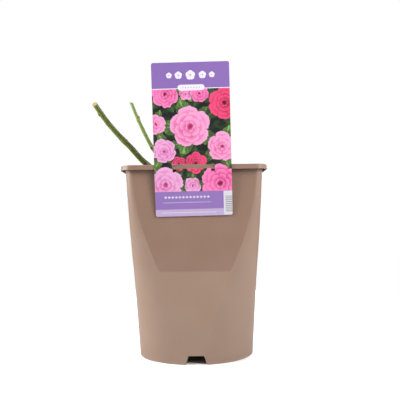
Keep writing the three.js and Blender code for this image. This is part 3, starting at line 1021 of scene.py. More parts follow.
def build_fibres(settings):
    """Thin bent fibres that lie on the surface."""
    rng = random.Random(SEEDS["fibres"])
    size = settings.lumpiness / MM
    sides, steps = 4, 6
    bm = bmesh.new()
    for _ in range(settings.fibres):
        place = scattered_place(rng, size).xy
        length = rng.uniform(*FIBRE["length"])
        heading, bend = rng.uniform(0, math.tau), rng.uniform(*FIBRE["bend"])
        thickness = rng.uniform(*FIBRE["thickness"])
        rings = []
        for step in range(steps + 1):
            share = step / steps
            angle = heading + bend * share
            direction = Vector((math.cos(angle), math.sin(angle)))
            side = Vector((-direction.y, direction.x, 0))
            lift = FIBRE["lift"] + FIBRE["arch"] * math.sin(math.pi * share)
            centre = Vector((place.x, place.y, compost_height(place.x, place.y, size) + lift))
            radius = thickness * (1.15 - share * 0.8)
            rings.append([centre + across(side, UP, turn) * radius for turn in around(sides)])
            place = place + direction * length / steps
        if max(abs(place.x), abs(place.y)) < compost_reach(2):
            extrude_rings(bm, rings)
    make_piece(bm, "compost_fibres", peat_fibre())


# Canes

def spline_point(path, share):
    """Point of the smooth curve through the path, share of the way along its spans."""
    spans = len(path) - 1
    span = min(int(share * spans), spans - 1)
    t = share * spans - span
    p1, p2 = Vector(path[span]), Vector(path[span + 1])
    p0 = Vector(path[span - 1]) if span else 2 * p1 - p2
    p3 = Vector(path[span + 2]) if span + 2 <= spans else 2 * p2 - p1
    d0, d1, d2 = ((b - a).length ** 0.5 for a, b in ((p0, p1), (p1, p2), (p2, p3)))
    leave = ((p1 - p0) / d0 - (p2 - p0) / (d0 + d1) + (p2 - p1) / d1) * d1
    arrive = ((p2 - p1) / d1 - (p3 - p1) / (d1 + d2) + (p3 - p2) / d2) * d1
    square = -3 * p1 + 3 * p2 - 2 * leave - arrive
    cube = 2 * p1 - 2 * p2 + leave + arrive
    return p1 + leave * t + square * t ** 2 + cube * t ** 3


def stem_frames(path):
    """Even steps along a stem: its centre, two directions across it, and the way it heads."""
    fine = [spline_point(path, number / SPLINE_STEPS) for number in range(SPLINE_STEPS + 1)]
    walked = [0]
    for a, b in zip(fine, fine[1:]):
        walked.append(walked[-1] + (b - a).length)
    count = round(walked[-1] / RING_STEP)
    centres = []
    spot = 0
    for number in range(count + 1):
        goal = walked[-1] * number / count
        while spot < len(fine) - 2 and walked[spot + 1] < goal:
            spot += 1
        share = (goal - walked[spot]) / (walked[spot + 1] - walked[spot])
        centres.append(fine[spot].lerp(fine[spot + 1], share))
    frames = []
    side = Vector((0, 1, 0))
    for number, centre in enumerate(centres):
        before, after = centres[max(0, number - 1)], centres[min(count, number + 1)]
        heading = (after - before).normalized()
        side = (side - heading * side.dot(heading)).normalized()
        frames.append((centre, side, heading.cross(side), heading))
    return frames, walked[-1]


def across(side, over, angle):
    """Direction across a stem at an angle from its side towards its over direction."""
    return side * math.cos(angle) + over * math.sin(angle)


def distance_at_height(frames, length, z):
    """How far along a stem it first passes a height."""
    for number, (centre, *_) in enumerate(frames):
        if centre.z >= z:
            return length * number / (len(frames) - 1)
    return length


def angle_between(a, b):
    """Smallest turn between two angles."""
    return abs((a - b + math.pi) % math.tau - math.pi)


def hill(away, reach):
    """One in the middle, and fading to nought past a reach."""
    return math.exp(-(away / reach) ** 2)


def find_marks(cane, kind, frames, length):
    """Each bud's or scar's distance along the stem, the side that it is on, and the rest of its
    values with the stem's frame there."""
    marks = []
    for z, faces, *rest in cane[kind]:
        distance = distance_at_height(frames, length, z)
        frame_there = frames[round(distance / length * (len(frames) - 1))]
        _, side, over, _ = frame_there
        angle = math.atan2(Vector(faces).dot(over), Vector(faces).dot(side))
        marks.append((distance, angle, rest, frame_there))
    return marks


def stem_radius(cane, buds, length, distance):
    """Half thickness of the bare stem: it flares at its foot, tapers, and steps in past buds."""
    steps = sum(rest[0] for _, _, rest, _ in buds)
    radius = mix(cane["foot"], cane["tip"] + steps, distance / length)
    radius += FLARE["size"] * math.exp(-distance / FLARE["reach"])
    for where, _, rest, _ in buds:
        radius -= rest[0] * min(1, max(0, (distance - where) / BUD["narrowing"]))
    return radius


def bark_noise(distance, angle, knots, length, start=0):
    """Noise that closes on itself round the stem: so many knots round, and one in each length."""
    place = Vector((math.cos(angle) * knots, math.sin(angle) * knots, distance / length + start))
    return noise.noise(place)


def bark_relief(cane, buds, scars, distance, angle, relief):
    """How far the bark stands proud of the bare stem at one spot, in millimetres."""
    fine = bark_noise(distance, angle, 6, 5)
    proud = relief * (RIBS["broad"] * bark_noise(distance, angle, 2.2, 16) + RIBS["fine"] * fine)
    if cane["finish"] == "old":
        crack = bark_noise(distance, angle, 3.4, 9, start=7)
        depth = OLD_RELIEF["crack"] * max(0, OLD_RELIEF["crack_width"] - abs(crack))
        proud += OLD_RELIEF["thickness"] - depth + OLD_RELIEF["fine"] * fine
    for where, side, _, _ in buds:
        away, turn = distance - where, angle_between(angle, side)
        pad = hill(away - BUD_PAD["above"], BUD_PAD["length"]) * hill(turn, BUD_PAD["angle"])
        proud += BUD_PAD["ring"] * hill(away, BUD["reach"]) + BUD_PAD["height"] * pad
    for where, side, (swelling,), _ in scars:
        away, turn = distance - where, angle_between(angle, side)
        pad = hill(away, SCAR_PAD["length"]) * hill(turn, SCAR_PAD["angle"])
        proud += swelling * hill(away, BUD["reach"]) + SCAR_PAD["height"] * pad
    return proud + LEAF_LINE["proud"] * ring_mark(buds + scars, distance, angle)


def ring_mark(marks, distance, angle):
    """One on the line that a leaf scar leaves round the stem, and nought away from it."""
    mark = 0
    for where, side, _, _ in marks:
        turn = angle_between(angle, side)
        away = distance - where + LEAF_LINE["below"] - LEAF_LINE["sway"] * math.cos(turn)
        fade = max(0, 1 - (turn / LEAF_LINE["angle"]) ** 4)
        mark = max(mark, hill(away, LEAF_LINE["width"]) * fade)
    return mark


def cut_shift(cane, heading, offset):
    """How far a point of the tip's section slides along the stem to lie in the sloping cut."""
    faces = Vector(cane["cut_faces"]).normalized()
    return -heading * offset.dot(faces) * math.tan(math.radians(cane["cut_slope"]))


def build_bark(cane, frames, length, buds, scars, material, relief):
    """The stem's skin as a closed tube, with a shallow seat at its tip for the cut face. Its
    attributes are the straightened stem, the scars' rings, how far a spot faces the side that the
    painted light and shade are measured from, and how near it is to the foot."""
    slant = 3.2 * cane["tip"] * math.tan(math.radians(cane["cut_slope"]))
    rings, spots = [], []
    for number, (centre, side, over, heading) in enumerate(frames):
        distance = length * number / (len(frames) - 1)
        slide = max(0, 1 - (length - distance) / slant)
        ring = []
        for angle in around(CANE_COLUMNS):
            outward = across(side, over, angle)
            radius = stem_radius(cane, buds, length, distance)
            radius += bark_relief(cane, buds, scars, distance, angle, relief)
            offset = outward * radius
            ring.append(centre + offset + cut_shift(cane, heading, offset) * slide)
            spots.append((distance, angle, outward))
        rings.append(ring)
    tip_centre, _, _, heading = frames[-1]
    brim = rings[-1]
    for share, sink in CUT_SEAT:
        rings.append([tip_centre + (point - tip_centre) * share - heading * sink for point in brim])
        spots += spots[-CANE_COLUMNS:]
    bm = bmesh.new()
    stem = bm.verts.layers.float_vector.new("stem")
    node, weather, ripe = (float_layer(bm, name) for name in ("node", "weather", "ripe"))
    loops = extrude_rings(bm, rings)
    for vert, (distance, angle, outward) in zip((vert for loop in loops for vert in loop), spots):
        vert[stem] = Vector((math.cos(angle) * cane["foot"], math.sin(angle) * cane["foot"], distance))
        # Painted light and shade: how far this spot faces the painted light's side
        vert[weather] = outward.dot(PAINTED_LIGHT_SIDE)
        vert[ripe] = 1 - distance / length
        vert[node] = ring_mark(buds + scars, distance, angle)
    make_piece(bm, cane["name"] + "_bark", material, cane["name"])


def build_cut(cane, frames, radius, material):
    """The sloping face of the pruning cut, a thin lens that sits in the bark's seat."""
    centre, side, over, heading = frames[-1]
    rings = []
    for share, lift in CUT_PROFILE:
        ring = []
        for angle in around(CANE_COLUMNS):
            offset = across(side, over, angle) * radius * share
            ring.append(centre + offset + cut_shift(cane, heading, offset) + heading * lift)
        rings.append(ring)
    bm = bmesh.new()
    extrude_rings(bm, rings, "reach", [share for share, _ in CUT_PROFILE])
    make_piece(bm, cane["name"] + "_cut", material)


def bud_outline(share, angle):
    """Half width of a bud at a share of its length: full below, pointed above, with three
    overlapping scales."""
    full = math.sin(math.pi * min(1, 0.12 + 0.88 * share) ** 0.72) ** 0.8
    wrap = (share * 2.6 + 0.25 * math.cos(angle) + angle / math.tau) % 1
    return max(0.02, full) * (1 + 0.10 * wrap)


def build_buds(cane, length, buds, material):
    """All the buds of one cane as one piece."""
    columns, steps = 14, 12
    shares = [step / steps for step in range(steps + 1)]
    bm = bmesh.new()
    old = float_layer(bm, "age")
    for where, angle, (_, age), (centre, side, over, heading) in buds:
        outward = across(side, over, angle)
        lean = Matrix.Rotation(math.radians(BUD["lean"]), 3, heading.cross(outward))
        axis = lean @ heading
        flat = (outward - axis * outward.dot(axis)).normalized()
        wide = axis.cross(flat)
        seat = centre + outward * stem_radius(cane, buds, length, where) * BUD["seat"]
        rings = []
        for share in shares:
            ring = []
            for turn in around(columns):
                radius = BUD["radius"] * (1 + BUD["spread"] * age) * bud_outline(share, turn)
                point = across(wide, flat * BUD["flatness"], turn) * radius
                ring.append(seat + axis * BUD["length"] * (share - BUD["sunk"]) + point)
            rings.append(ring)
        for vert in (vert for loop in extrude_rings(bm, rings, "reach", shares) for vert in loop):
            vert[old] = age
    make_piece(bm, cane["name"] + "_buds", material)


def build_cane(cane, bark, cut, scales, relief):
    frames, length = stem_frames(cane["path"])
    buds = find_marks(cane, "buds", frames, length)
    scars = find_marks(cane, "scars", frames, length)
    build_bark(cane, frames, length, buds, scars, bark, relief)
    build_cut(cane, frames, stem_radius(cane, buds, length, length), cut)
    if buds:
        build_buds(cane, length, buds, scales)


def union_width(up):
    """Share of the union's radius at a share of its height, eased between the outline's points."""
    for (wide_low, low), (wide_high, high) in zip(UNION_OUTLINE[1:], UNION_OUTLINE[2:]):
        if up <= high:
            share = (up - low) / (high - low)
            return mix(wide_low, wide_high, share * share * (3 - 2 * share))
    return 0


def build_union(material):
    """The knobbly union, swollen where canes leave it and healed over old cuts."""
    columns, steps = 96, 48
    foot = Vector((UNION["x"], UNION["y"], COMPOST_TOP))
    rings = []
    for step in range(steps + 1):
        up = math.sin(math.pi / 2 * step / steps)
        ring = []
        for angle in around(columns):
            swell = 1 + UNION["lumps"] * (math.sin(3 * angle + 0.6) + 0.5 * math.sin(5 * angle))
            width = max(0.02, union_width(up)) * swell * UNION["radius"]
            spot = Vector((width * math.cos(angle), width * math.sin(angle), up * UNION["height"]))
            knobs = noise.fractal(spot / 5.5, 0.8, 2.1, 4)
            cracks = abs(noise.noise(Vector((spot.x / 1.6, spot.y / 1.6, spot.z / 6))))
            outward = Vector((spot.x, spot.y, 0.6 * spot.z)).normalized()
            spot += outward * min(1, width / 4) * (1.1 * knobs - 0.9 * max(0, 0.3 - cracks))
            ring.append(foot + spot - UP * UNION["sunk"])
        rings.append(ring)
    bm = bmesh.new()
    stem = bm.verts.layers.float_vector.new("stem")
    extrude_rings(bm, rings)
    for vert in bm.verts:
        vert[stem] = vert.co - foot
    make_piece(bm, "union_bark", material, "bud_union")


# Label

@shader_group("Box mask", point=ORIGIN, centre=ORIGIN, half=(1, 1, 0), corner=0)
def box_mask(tree, point, centre, half, corner):
    """One inside a box with rounded corners and nought outside it."""
    offset = vector_maths(tree, "ABSOLUTE", vector_maths(tree, "SUBTRACT", point, centre))
    inner = vector_maths(tree, "SUBTRACT", half, combine(tree, corner, corner))
    past = vector_maths(tree, "MAXIMUM", vector_maths(tree, "SUBTRACT", offset, inner), ORIGIN)
    return maths(tree, "LESS_THAN", minus(tree, flat_length(tree, past), corner), HAIR)


def spread_point(tree, point, centre, radius, turn):
    """A point's place in a motif whose radius is one: how far out, and at which angle."""
    offset = vector_maths(tree, "SUBTRACT", point, centre)
    shape = vector_maths(tree, "DIVIDE", offset, combine(tree, radius, radius, 1))
    parts = separate(tree, shape)
    return flat_length(tree, shape), plus(tree, maths(tree, "ARCTAN2", parts[1], parts[0]), turn)


@shader_group(
    "Bloom", ("Colour", "Mask", "Shade"), point=ORIGIN, centre=ORIGIN, radius=10, turn=0, petals=5,
    layers=3, light=WHITE, deep=BLACK, heart=BLACK,
)
def bloom(tree, point, centre, radius, turn, petals, layers, light, deep, heart):
    """A round open flower seen from above: staggered rings of petals, each paler at its edge."""
    far, angle = spread_point(tree, point, centre, radius, turn)
    layer = maths(tree, "FLOOR", times(tree, far, layers))
    staggered = maths(tree, "MULTIPLY_ADD", layer, 1.9, angle)
    half_turns = times(tree, staggered, times(tree, petals, 0.5))
    lobe = maths(tree, "POWER", absolute(tree, maths(tree, "SINE", half_turns)), 0.45)
    edge = maths(tree, "DIVIDE", far, maths(tree, "MULTIPLY_ADD", lobe, 0.2, 0.8))
    step = maths(tree, "FRACT", times(tree, edge, layers))
    shine = times(tree, maths(tree, "POWER", step, 0.7), rescale(tree, lobe, 0.2, 0.7, 0.4, 1))
    outer = rescale(tree, far, 0.1, 1, 0, 0.35)
    side = rescale(tree, maths(tree, "SINE", angle), -1, 1, -0.12, 0.2)
    petal = blend(tree, plus(tree, plus(tree, shine, outer), side, clamp=True), deep, light)
    colour = blend(tree, rescale(tree, far, 0.2, 0.08), petal, heart)
    return colour, maths(tree, "LESS_THAN", edge, 1), rescale(tree, edge, 1.28, 1)


@shader_group(
    "Leaf ring", ("Colour", "Mask"), point=ORIGIN, centre=ORIGIN, radius=14, turn=0, count=5,
    light=WHITE, deep=BLACK,
)
def leaf_ring(tree, point, centre, radius, turn, count, light, deep):
    """A ring of pointed leaves with pale midribs, to lie under a bloom."""
    far, angle = spread_point(tree, point, centre, radius, turn)
    turns = maths(tree, "DIVIDE", times(tree, angle, count), math.tau)
    aside = absolute(tree, minus(tree, maths(tree, "FRACT", turns), 0.5))
    width = times(tree, times(tree, aside, far), 2)
    along = rescale(tree, far, 0.25, 1)
    blade = times(tree, maths(tree, "SINE", times(tree, along, math.pi)), 0.42)
    veins = maths(tree, "SINE", maths(tree, "MULTIPLY_ADD", far, 28, times(tree, width, -40)))
    rib = rescale(tree, width, 0.06, 0.01)
    tone = plus(tree, rescale(tree, veins, -1, 1, 0.25, 0.5), rib, clamp=True)
    return blend(tree, tone, deep, light), maths(tree, "LESS_THAN", width, blade)


@shader_group("Bead row", point=ORIGIN, centre=ORIGIN, half=20, spacing=4, radius=1)
def bead_row(tree, point, centre, half, spacing, radius):
    """A plain row of small diamonds, evenly spaced."""
    parts = separate(tree, vector_maths(tree, "SUBTRACT", point, centre))
    count = maths(tree, "DIVIDE", parts[0], spacing)
    nearest = minus(tree, count, maths(tree, "ROUND", count))
    aside = absolute(tree, times(tree, nearest, spacing))
    distance = plus(tree, aside, absolute(tree, parts[1]))
    within = maths(tree, "LESS_THAN", absolute(tree, parts[0]), half)
    return times(tree, maths(tree, "LESS_THAN", distance, radius), within)


def scatter_blooms():
    """Places for the blooms, the largest first, each where it has most room."""
    rng = random.Random(SEEDS["blooms"])
    half = LABEL["width"] / 2
    blooms = []
    for radius in BLOOM_SIZES:
        best = None
        for _ in range(BLOOM_TRIES):
            x = rng.uniform(-half + 0.3 * radius, half - 0.3 * radius)
            z = rng.uniform(PICTURE_LOW + 0.35 * radius, PICTURE_HIGH - 0.35 * radius)
            room = min([math.hypot(x - a, z - b) - r for a, b, r in blooms], default=radius) - radius
            if best is None or room > best[0]:
                best = (room, x, z)
        blooms.append((best[1], best[2], radius))
    return blooms


def paint_picture(tree, point):
    """Blooms and leaves on a dark leafy ground, with a little wobble in their outlines."""
    rng = random.Random(SEEDS["turns"])
    ripple = add_node(tree, "ShaderNodeTexNoise", {"Vector": point, "Scale": 0.22, "Detail": 2})
    wobble = vector_maths(tree, "SUBTRACT", ripple.outputs["Color"], (0.5, 0.5, 0.5))
    drawn = vector_maths(tree, "ADD", point, vector_maths(tree, "SCALE", wobble, Scale=4.5))
    shade = noise_at(tree, vector_maths(tree, "SCALE", point, Scale=0.12), 1)
    colour = blend(tree, rescale(tree, shade, 0.45, 0.72), *LEAFY_GROUND)
    blooms = scatter_blooms()
    for number, (x, z, radius) in enumerate(blooms):
        light, deep = LEAF_TONES[number % len(LEAF_TONES)]
        leaf = leaf_ring(
            tree, point=drawn, centre=(x, z, 0), radius=radius * 1.5, turn=rng.uniform(0, 6), count=5,
            light=opaque(light), deep=opaque(deep),
        )
        colour = blend(tree, leaf["Mask"], colour, leaf["Colour"])
    for number, (x, z, radius) in reversed(list(enumerate(blooms))):
        light, deep, heart = BLOOM_TONES[number % len(BLOOM_TONES)]
        flower = bloom(
            tree, point=drawn, centre=(x, z, 0), radius=radius, turn=rng.uniform(0, 6),
            petals=5 + number % 2, layers=3 if radius < SMALL_BLOOM else 4,
            light=opaque(light), deep=opaque(deep), heart=opaque(heart),
        )
        colour = overlay(tree, colour, (
            (times(tree, flower["Shade"], 0.6), BLOOM_SHADE),
            (flower["Mask"], flower["Colour"]),
        ))
    return colour


def place_box(tree, point, left, right, low, high, corner=0):
    return box_mask(
        tree, point=point, centre=((left + right) / 2, (low + high) / 2, 0),
        half=((right - left) / 2, (high - low) / 2, 1), corner=corner,
    )


def place_beads(tree, point, x, z, half, spacing, radius):
    return bead_row(tree, point=point, centre=(x, z, 0), half=half, spacing=spacing, radius=radius)


def paint_sprigs(tree, point, colour, centre_colour):
    """The row of plain open flowers in the head band."""
    for x, radius in SPRIG_ROW:
        sprig = bloom(
            tree, point=point, centre=(x, SPRIG_HEIGHT, 0), radius=radius, turn=math.pi / 2, petals=5,
            layers=1, light=opaque(PAPER_WHITE), deep=opaque(SPRIG_SHADE), heart=opaque(centre_colour),
        )
        colour = blend(tree, sprig["Mask"], colour, sprig["Colour"])
    return colour


def printed_sheet(settings):
    """Satin sheet: the printed front, the plain back, and pale cut edges."""
    material, tree = new_material("Printed sheet", {"IOR": 1.5})
    point = read_attribute(tree, "sheet", "Vector")
    right = LABEL["width"] / 2 + 1
    bands = (
        (PICTURE_HIGH, LABEL["height"] + 1, settings.head_colour),
        (PICTURE_HIGH, PICTURE_HIGH + HEAD_LINE, PAPER_WHITE),
        (FOOT_BAND, PICTURE_LOW, settings.foot_colour),
        (-1, FOOT_BAND, settings.pale_colour),
    )
    colour = overlay(tree, paint_picture(tree, point), (
        (place_box(tree, point, -right, right, low, high), tone) for low, high, tone in bands
    ))
    colour = paint_sprigs(tree, point, colour, settings.head_colour)
    across, up = PILL["half_width"], PILL["half_height"]
    height = separate(tree, point)["Y"]
    wave = maths(tree, "SINE", times(tree, height, math.tau / STRIPES["spacing"]))
    stripes = maths(tree, "GREATER_THAN", wave, STRIPES["thinness"])
    block = place_box(tree, point, STRIPES["left"], right, STRIPES["low"], STRIPES["high"])
    colour = overlay(tree, colour, (
        *((times(tree, place_beads(tree, point, *row), 0.8), PAPER_WHITE) for row in BEAD_ROWS),
        (place_box(tree, point, PATCH["left"], right, PATCH["low"], PATCH["high"]), PATCH_WHITE),
        (times(tree, stripes, block), STRIPE_GREY),
        (place_box(tree, point, PILL["x"] - across, PILL["x"] + across, PILL["z"] - up, PILL["z"] + up, up),
         PAPER_WHITE),
        (place_beads(tree, point, PILL["x"], PILL["z"], *PILL_BEADS), BEAD_GREY),
    ))
    clouds = noise_at(tree, vector_maths(tree, "SCALE", point, Scale=0.05), 1)
    back = blend(tree, clouds, ink(206, 200, 212), ink(216, 212, 222))
    colour = blend(tree, read_attribute(tree, "front"), back, colour)
    smears = mottle(tree, vector=object_place(tree), scale=60, low=0.3, high=0.7)
    gloss = maths(tree, "MULTIPLY_ADD", smears, 0.08, settings.roughness)
    return finish(material, colour, gloss, smears, 0.02, 0.4)


def stops(marks, step):
    """The marks with even stops between them, none further apart than a step."""
    found = []
    for low, high in zip(marks, marks[1:]):
        count = max(1, math.ceil((high - low) / step))
        found += [mix(low, high, number / count) for number in range(count)]
    return found + [marks[-1]]


def label_place():
    """Where the sheet's own plane, across X and up Z from its bottom edge, hangs on the rim."""
    back_at_rim = -(RIM[0] + LABEL_GAP)
    bottom_y = back_at_rim + (NECK[0] - LABEL["bottom"]) * math.tan(math.radians(LABEL_LEAN))
    lean = Matrix.Rotation(math.radians(LABEL_LEAN), 4, "X")
    turn = Matrix.Rotation(math.radians(-LABEL_TURN), 4, "Y")
    return Matrix.Translation((LABEL["x"], bottom_y, LABEL["bottom"])) @ lean @ turn


def slot_bounds():
    """The slot's sides, its bottom and top, and the tongue's sides and top, on the sheet."""
    lean, turn = math.radians(LABEL_LEAN), math.radians(LABEL_TURN)
    low = (SLOT["bottom"] - LABEL["bottom"]) / math.cos(lean)
    sides = [SLOT["offset"] + side * SLOT["width"] / 2 for side in (-1, 1)]
    tongue_sides = [SLOT["offset"] + side * TONGUE["width"] / 2 for side in (-1, 1)]
    tilt_back = TONGUE["length"] * math.sin(lean)
    tilt_across = TONGUE["width"] / 2 * math.sin(turn)
    tongue_high = low + NECK[0] - LABEL_GAP - tilt_back - tilt_across - SLOT["bottom"]
    return sides, low, low + SLOT["height"], tongue_sides, tongue_high


def slotted_sheet():
    """The flat sheet with its slot and round corners, gridded so that it can bend."""
    (left, right), low, high, (tongue_left, tongue_right), tongue_high = slot_bounds()
    half, height, corner = LABEL["width"] / 2, LABEL["height"], LABEL["corner"] + CORNER_MARGIN
    xs = [-half, -half + corner, left, tongue_left, tongue_right, right, half - corner, half]
    zs = [0, corner, low, tongue_high, high, height - corner, height]
    xs, zs = stops(xs, SHEET_CELL), stops(zs, SHEET_CELL)
    bm = bmesh.new()
    bmesh.ops.create_grid(bm, x_segments=len(xs) - 1, y_segments=len(zs) - 1, size=1)
    for vert in bm.verts:
        column = round((vert.co.x + 1) / 2 * (len(xs) - 1))
        row = round((vert.co.y + 1) / 2 * (len(zs) - 1))
        level = 0 if zs[row] != high else xs[column] * math.tan(math.radians(LABEL_TURN))
        vert.co = Vector((xs[column], 0, zs[row] - level))
    hole = []
    for face in bm.faces:
        x, _, z = face.calc_center_median()
        in_slot = left < x < right and low < z < high - SLOT_MARGIN
        in_tongue = tongue_left < x < tongue_right and z < tongue_high
        if in_slot and not in_tongue:
            hole.append(face)
    bmesh.ops.delete(bm, geom=hole, context="FACES")
    side = half - CORNER_MARGIN
    corners = [vert for vert in bm.verts if len(vert.link_edges) == 2 and abs(vert.co.x) > side]
    bmesh.ops.bevel(
        bm, geom=corners, offset=LABEL["corner"], offset_type="OFFSET", segments=6, profile=0.5,
        affect="VERTICES", material=-1,
    )
    return bm


def fold_tongue(bm):
    """Folds the tongue back over the rim, from the edge that the slot leaves between its sides."""
    _, _, _, (left, right), high = slot_bounds()
    edges = [
        edge for edge in bm.edges
        if all(abs(v.co.z - high) < HAIR and left - 0.01 < v.co.x < right + 0.01 for v in edge.verts)
    ]
    for back, up in TONGUE_FOLD:
        verts, edges = extrude_edges(bm, edges)
        for vert in verts:
            vert.co.y = back
            vert.co.z = high + up


def bend_sheet(bm):
    """Sags the sheet's foot towards the wall, and bows it back over the slot."""
    _, slot_low, slot_high, _, _ = slot_bounds()
    for vert in bm.verts:
        if vert.co.z < slot_low:
            vert.co.y += FOOT_SAG * (1 - vert.co.z / slot_low) ** 1.5
        across = (vert.co.x - SLOT["offset"]) / LIP_DIP["half_width"]
        above = vert.co.z - slot_high
        if abs(across) < 1 and above > -SLOT_MARGIN:
            bow = math.cos(across * math.pi / 2) ** 2
            vert.co.y += LIP_DIP["depth"] * bow * math.exp(-above / LIP_DIP["reach"])


def build_label(settings):
    bm = slotted_sheet()
    sheet = bm.verts.layers.float_vector.new("sheet")
    for vert in bm.verts:
        vert[sheet] = Vector((vert.co.x, vert.co.z, 0))
    fold_tongue(bm)
    bend_sheet(bm)
    bmesh.ops.recalc_face_normals(bm, faces=bm.faces)
    if sum(face.normal.y for face in bm.faces) < 0:
        bmesh.ops.reverse_faces(bm, faces=bm.faces)
    bmesh.ops.solidify(bm, geom=bm.faces[:], thickness=LABEL["thickness"])
    bmesh.ops.recalc_face_normals(bm, faces=bm.faces)
    front = bm.faces.layers.float.new("front")
    for face in bm.faces:
        face[front] = 1 if face.normal.y < -0.6 else 0
    make_piece(
        bm, "label_sheet", printed_sheet(settings), "picture_label",
        sharp=SHARP_EDGES["label"], place=TO_ROW_FRAME @ label_place(),
    )


# Stage

def build_light(name, azimuth, elevation, size, power):
    """A soft rectangular light that faces the pot's middle. Azimuth 0 is the front, 90 the right."""
    across, up = math.radians(azimuth), math.radians(elevation)
    way = Vector((math.sin(across) * math.cos(up), -math.cos(across) * math.cos(up), math.sin(up)))
    light = bpy.data.lights.new(name, "AREA")
    light.shape = "RECTANGLE"
    light.size, light.size_y = size
    light.energy = power
    holder = put_in_scene(name, light)
    holder.location = POT_AXIS + Vector((0, 0, LIGHT_AIM)) + way * LIGHT_DISTANCE
    holder.rotation_euler = (-way).to_track_quat("-Z", "Y").to_euler()


def build_floor(settings):
    """A round floor that looks pale, and throws back less light than it seems to."""
    bm = bmesh.new()
    bmesh.ops.create_circle(bm, cap_ends=True, segments=128, radius=settings.floor_radius)
    floor = mesh_object(bm, "studio_floor")
    material, tree = new_material("Pale floor", {"Roughness": 0.9, "Specular IOR Level": 0.2})
    clouds = mottle(tree, vector=object_place(tree), scale=1.5, low=0.3, high=0.7)
    pale = [min(1, value * 1.02) for value in settings.floor_colour]
    dim = [value * settings.floor_bounce for value in settings.floor_colour]
    seen = add_node(tree, "ShaderNodeLightPath").outputs["Is Camera Ray"]
    surface = blend(tree, clouds, settings.floor_colour, pale)
    floor.data.materials.append(finish(material, blend(tree, seen, dim, surface)))


def build_camera():
    camera = bpy.data.cameras.new("photo_camera")
    camera.sensor_width = SENSOR
    camera.lens = FOCAL_PIXELS / FRAME_PIXELS * SENSOR
    camera.clip_start = 0.05
    holder = put_in_scene("photo_camera", camera)
    level = Matrix.Rotation(math.pi / 2 + CAMERA_PITCH, 4, "X")
    roll = Matrix.Rotation(-CAMERA_ROLL, 4, "Z")
    holder.matrix_world = Matrix.Translation(POT_AXIS + Vector(CAMERA_PLACE) * MM) @ level @ roll
    bpy.context.scene.camera = holder


def build_surround(settings):
    """A surround that looks white, and lights the pot less than the softboxes do."""
    world = bpy.data.worlds.new("White surround")
    world.use_nodes = True
    tree = world.node_tree
    background = tree.nodes["Background"].inputs
    background["Color"].default_value = WHITE
    seen = add_node(tree, "ShaderNodeLightPath").outputs["Is Camera Ray"]
    tree.links.new(rescale(tree, seen, 0, 1, settings.surround, 1), background["Strength"])
    scene = bpy.context.scene
    scene.world = world
    scene.view_settings.view_transform = "Standard"
    scene.view_settings.look = "None"


# Operators, panel and registration

class BuildPot(bpy.types.Operator):
    """Build the moulded pot with its square rim and round foot"""
    bl_idname = "rose_bush.build_pot"
    bl_label = "Pot"

    def execute(self, context):
        build_pot(context.scene.rose_pot)
        return {"FINISHED"}


class BuildCompost(bpy.types.Operator):
    """Build the compost with its crumbs and fibres"""
    bl_idname = "rose_bush.build_compost"
    bl_label = "Compost"

    def execute(self, context):
        settings = context.scene.rose_compost
        earth = peat(settings)
        build_compost_bed(settings, earth)
        build_crumbs(settings, earth)
        build_fibres(settings)
        return {"FINISHED"}


class BuildUnion(bpy.types.Operator):
    """Build the bud union and the old snag on it"""
    bl_idname = "rose_bush.build_union"
    bl_label = "Union and snag"

    def execute(self, context):
        settings = context.scene.rose_canes
        bark = old_bark(settings)
        build_union(bark)
        dead_wood = cut_wood("Dead cut wood", ink(140, 124, 100), ink(96, 76, 56))
        build_cane(SNAG, bark, dead_wood, None, settings.relief / MM)
        return {"FINISHED"}


class BuildCanes(bpy.types.Operator):
    """Build the canes with their bark, buds and pruning cuts"""
    bl_idname = "rose_bush.build_canes"
    bl_label = "Canes"

    def execute(self, context):
        settings = context.scene.rose_canes
        barks = {
            "aged": green_bark("Older green bark", settings, settings.aged_colour, 1),
            "fresh": green_bark("Young green bark", settings, settings.fresh_colour, 0.25),
        }
        cut = cut_wood("Fresh cut wood", ink(170, 152, 108), ink(156, 126, 82))
        scales = bud_scales(settings)
        for cane in CANES:
            build_cane(cane, barks[cane["finish"]], cut, scales, settings.relief / MM)
        return {"FINISHED"}


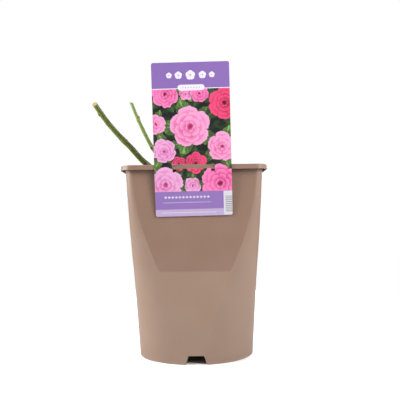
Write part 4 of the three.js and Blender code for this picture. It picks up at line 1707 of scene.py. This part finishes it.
class BuildLabel(bpy.types.Operator):
    """Build the picture label that hangs on the rim"""
    bl_idname = "rose_bush.build_label"
    bl_label = "Picture label"

    def execute(self, context):
        build_label(context.scene.rose_label)
        return {"FINISHED"}


class BuildStage(bpy.types.Operator):
    """Build the floor, the lights and the camera"""
    bl_idname = "rose_bush.build_stage"
    bl_label = "Studio stage"

    def execute(self, context):
        settings = context.scene.rose_stage
        build_floor(settings)
        build_surround(settings)
        build_camera()
        for name, azimuth, elevation, size, power in LIGHTS:
            build_light(name, azimuth, elevation, size, getattr(settings, power))
        return {"FINISHED"}


class RoseBushPanel(bpy.types.Panel):
    """Lists the pieces of the rose bush with their settings"""
    bl_idname = "VIEW3D_PT_rose_bush"
    bl_label = "Rose bush"
    bl_space_type = "VIEW_3D"
    bl_region_type = "UI"
    bl_category = "Rose bush"

    def draw(self, context):
        for operator, group in PIECES:
            box = self.layout.box()
            box.operator(operator.bl_idname)
            if group:
                settings = getattr(context.scene, group)
                for name in settings.__annotations__:
                    box.prop(settings, name)


PIECES = (
    (BuildStage, "rose_stage"),
    (BuildPot, "rose_pot"),
    (BuildCompost, "rose_compost"),
    (BuildUnion, None),
    (BuildCanes, "rose_canes"),
    (BuildLabel, "rose_label"),
)
SETTINGS = {
    "rose_stage": StageSettings,
    "rose_pot": PotSettings,
    "rose_compost": CompostSettings,
    "rose_canes": CaneSettings,
    "rose_label": LabelSettings,
}


def register():
    for name, group in SETTINGS.items():
        bpy.utils.register_class(group)
        setattr(bpy.types.Scene, name, PointerProperty(type=group))
    for operator, _ in PIECES:
        bpy.utils.register_class(operator)
    bpy.utils.register_class(RoseBushPanel)


def unregister():
    bpy.utils.unregister_class(RoseBushPanel)
    for operator, _ in reversed(PIECES):
        bpy.utils.unregister_class(operator)
    for name, group in SETTINGS.items():
        delattr(bpy.types.Scene, name)
        bpy.utils.unregister_class(group)


def main():
    register()
    bpy.ops.rose_bush.build_stage()
    bpy.ops.rose_bush.build_pot()
    bpy.ops.rose_bush.build_compost()
    bpy.ops.rose_bush.build_union()
    bpy.ops.rose_bush.build_canes()
    bpy.ops.rose_bush.build_label()


if __name__ == "__main__":
    main()
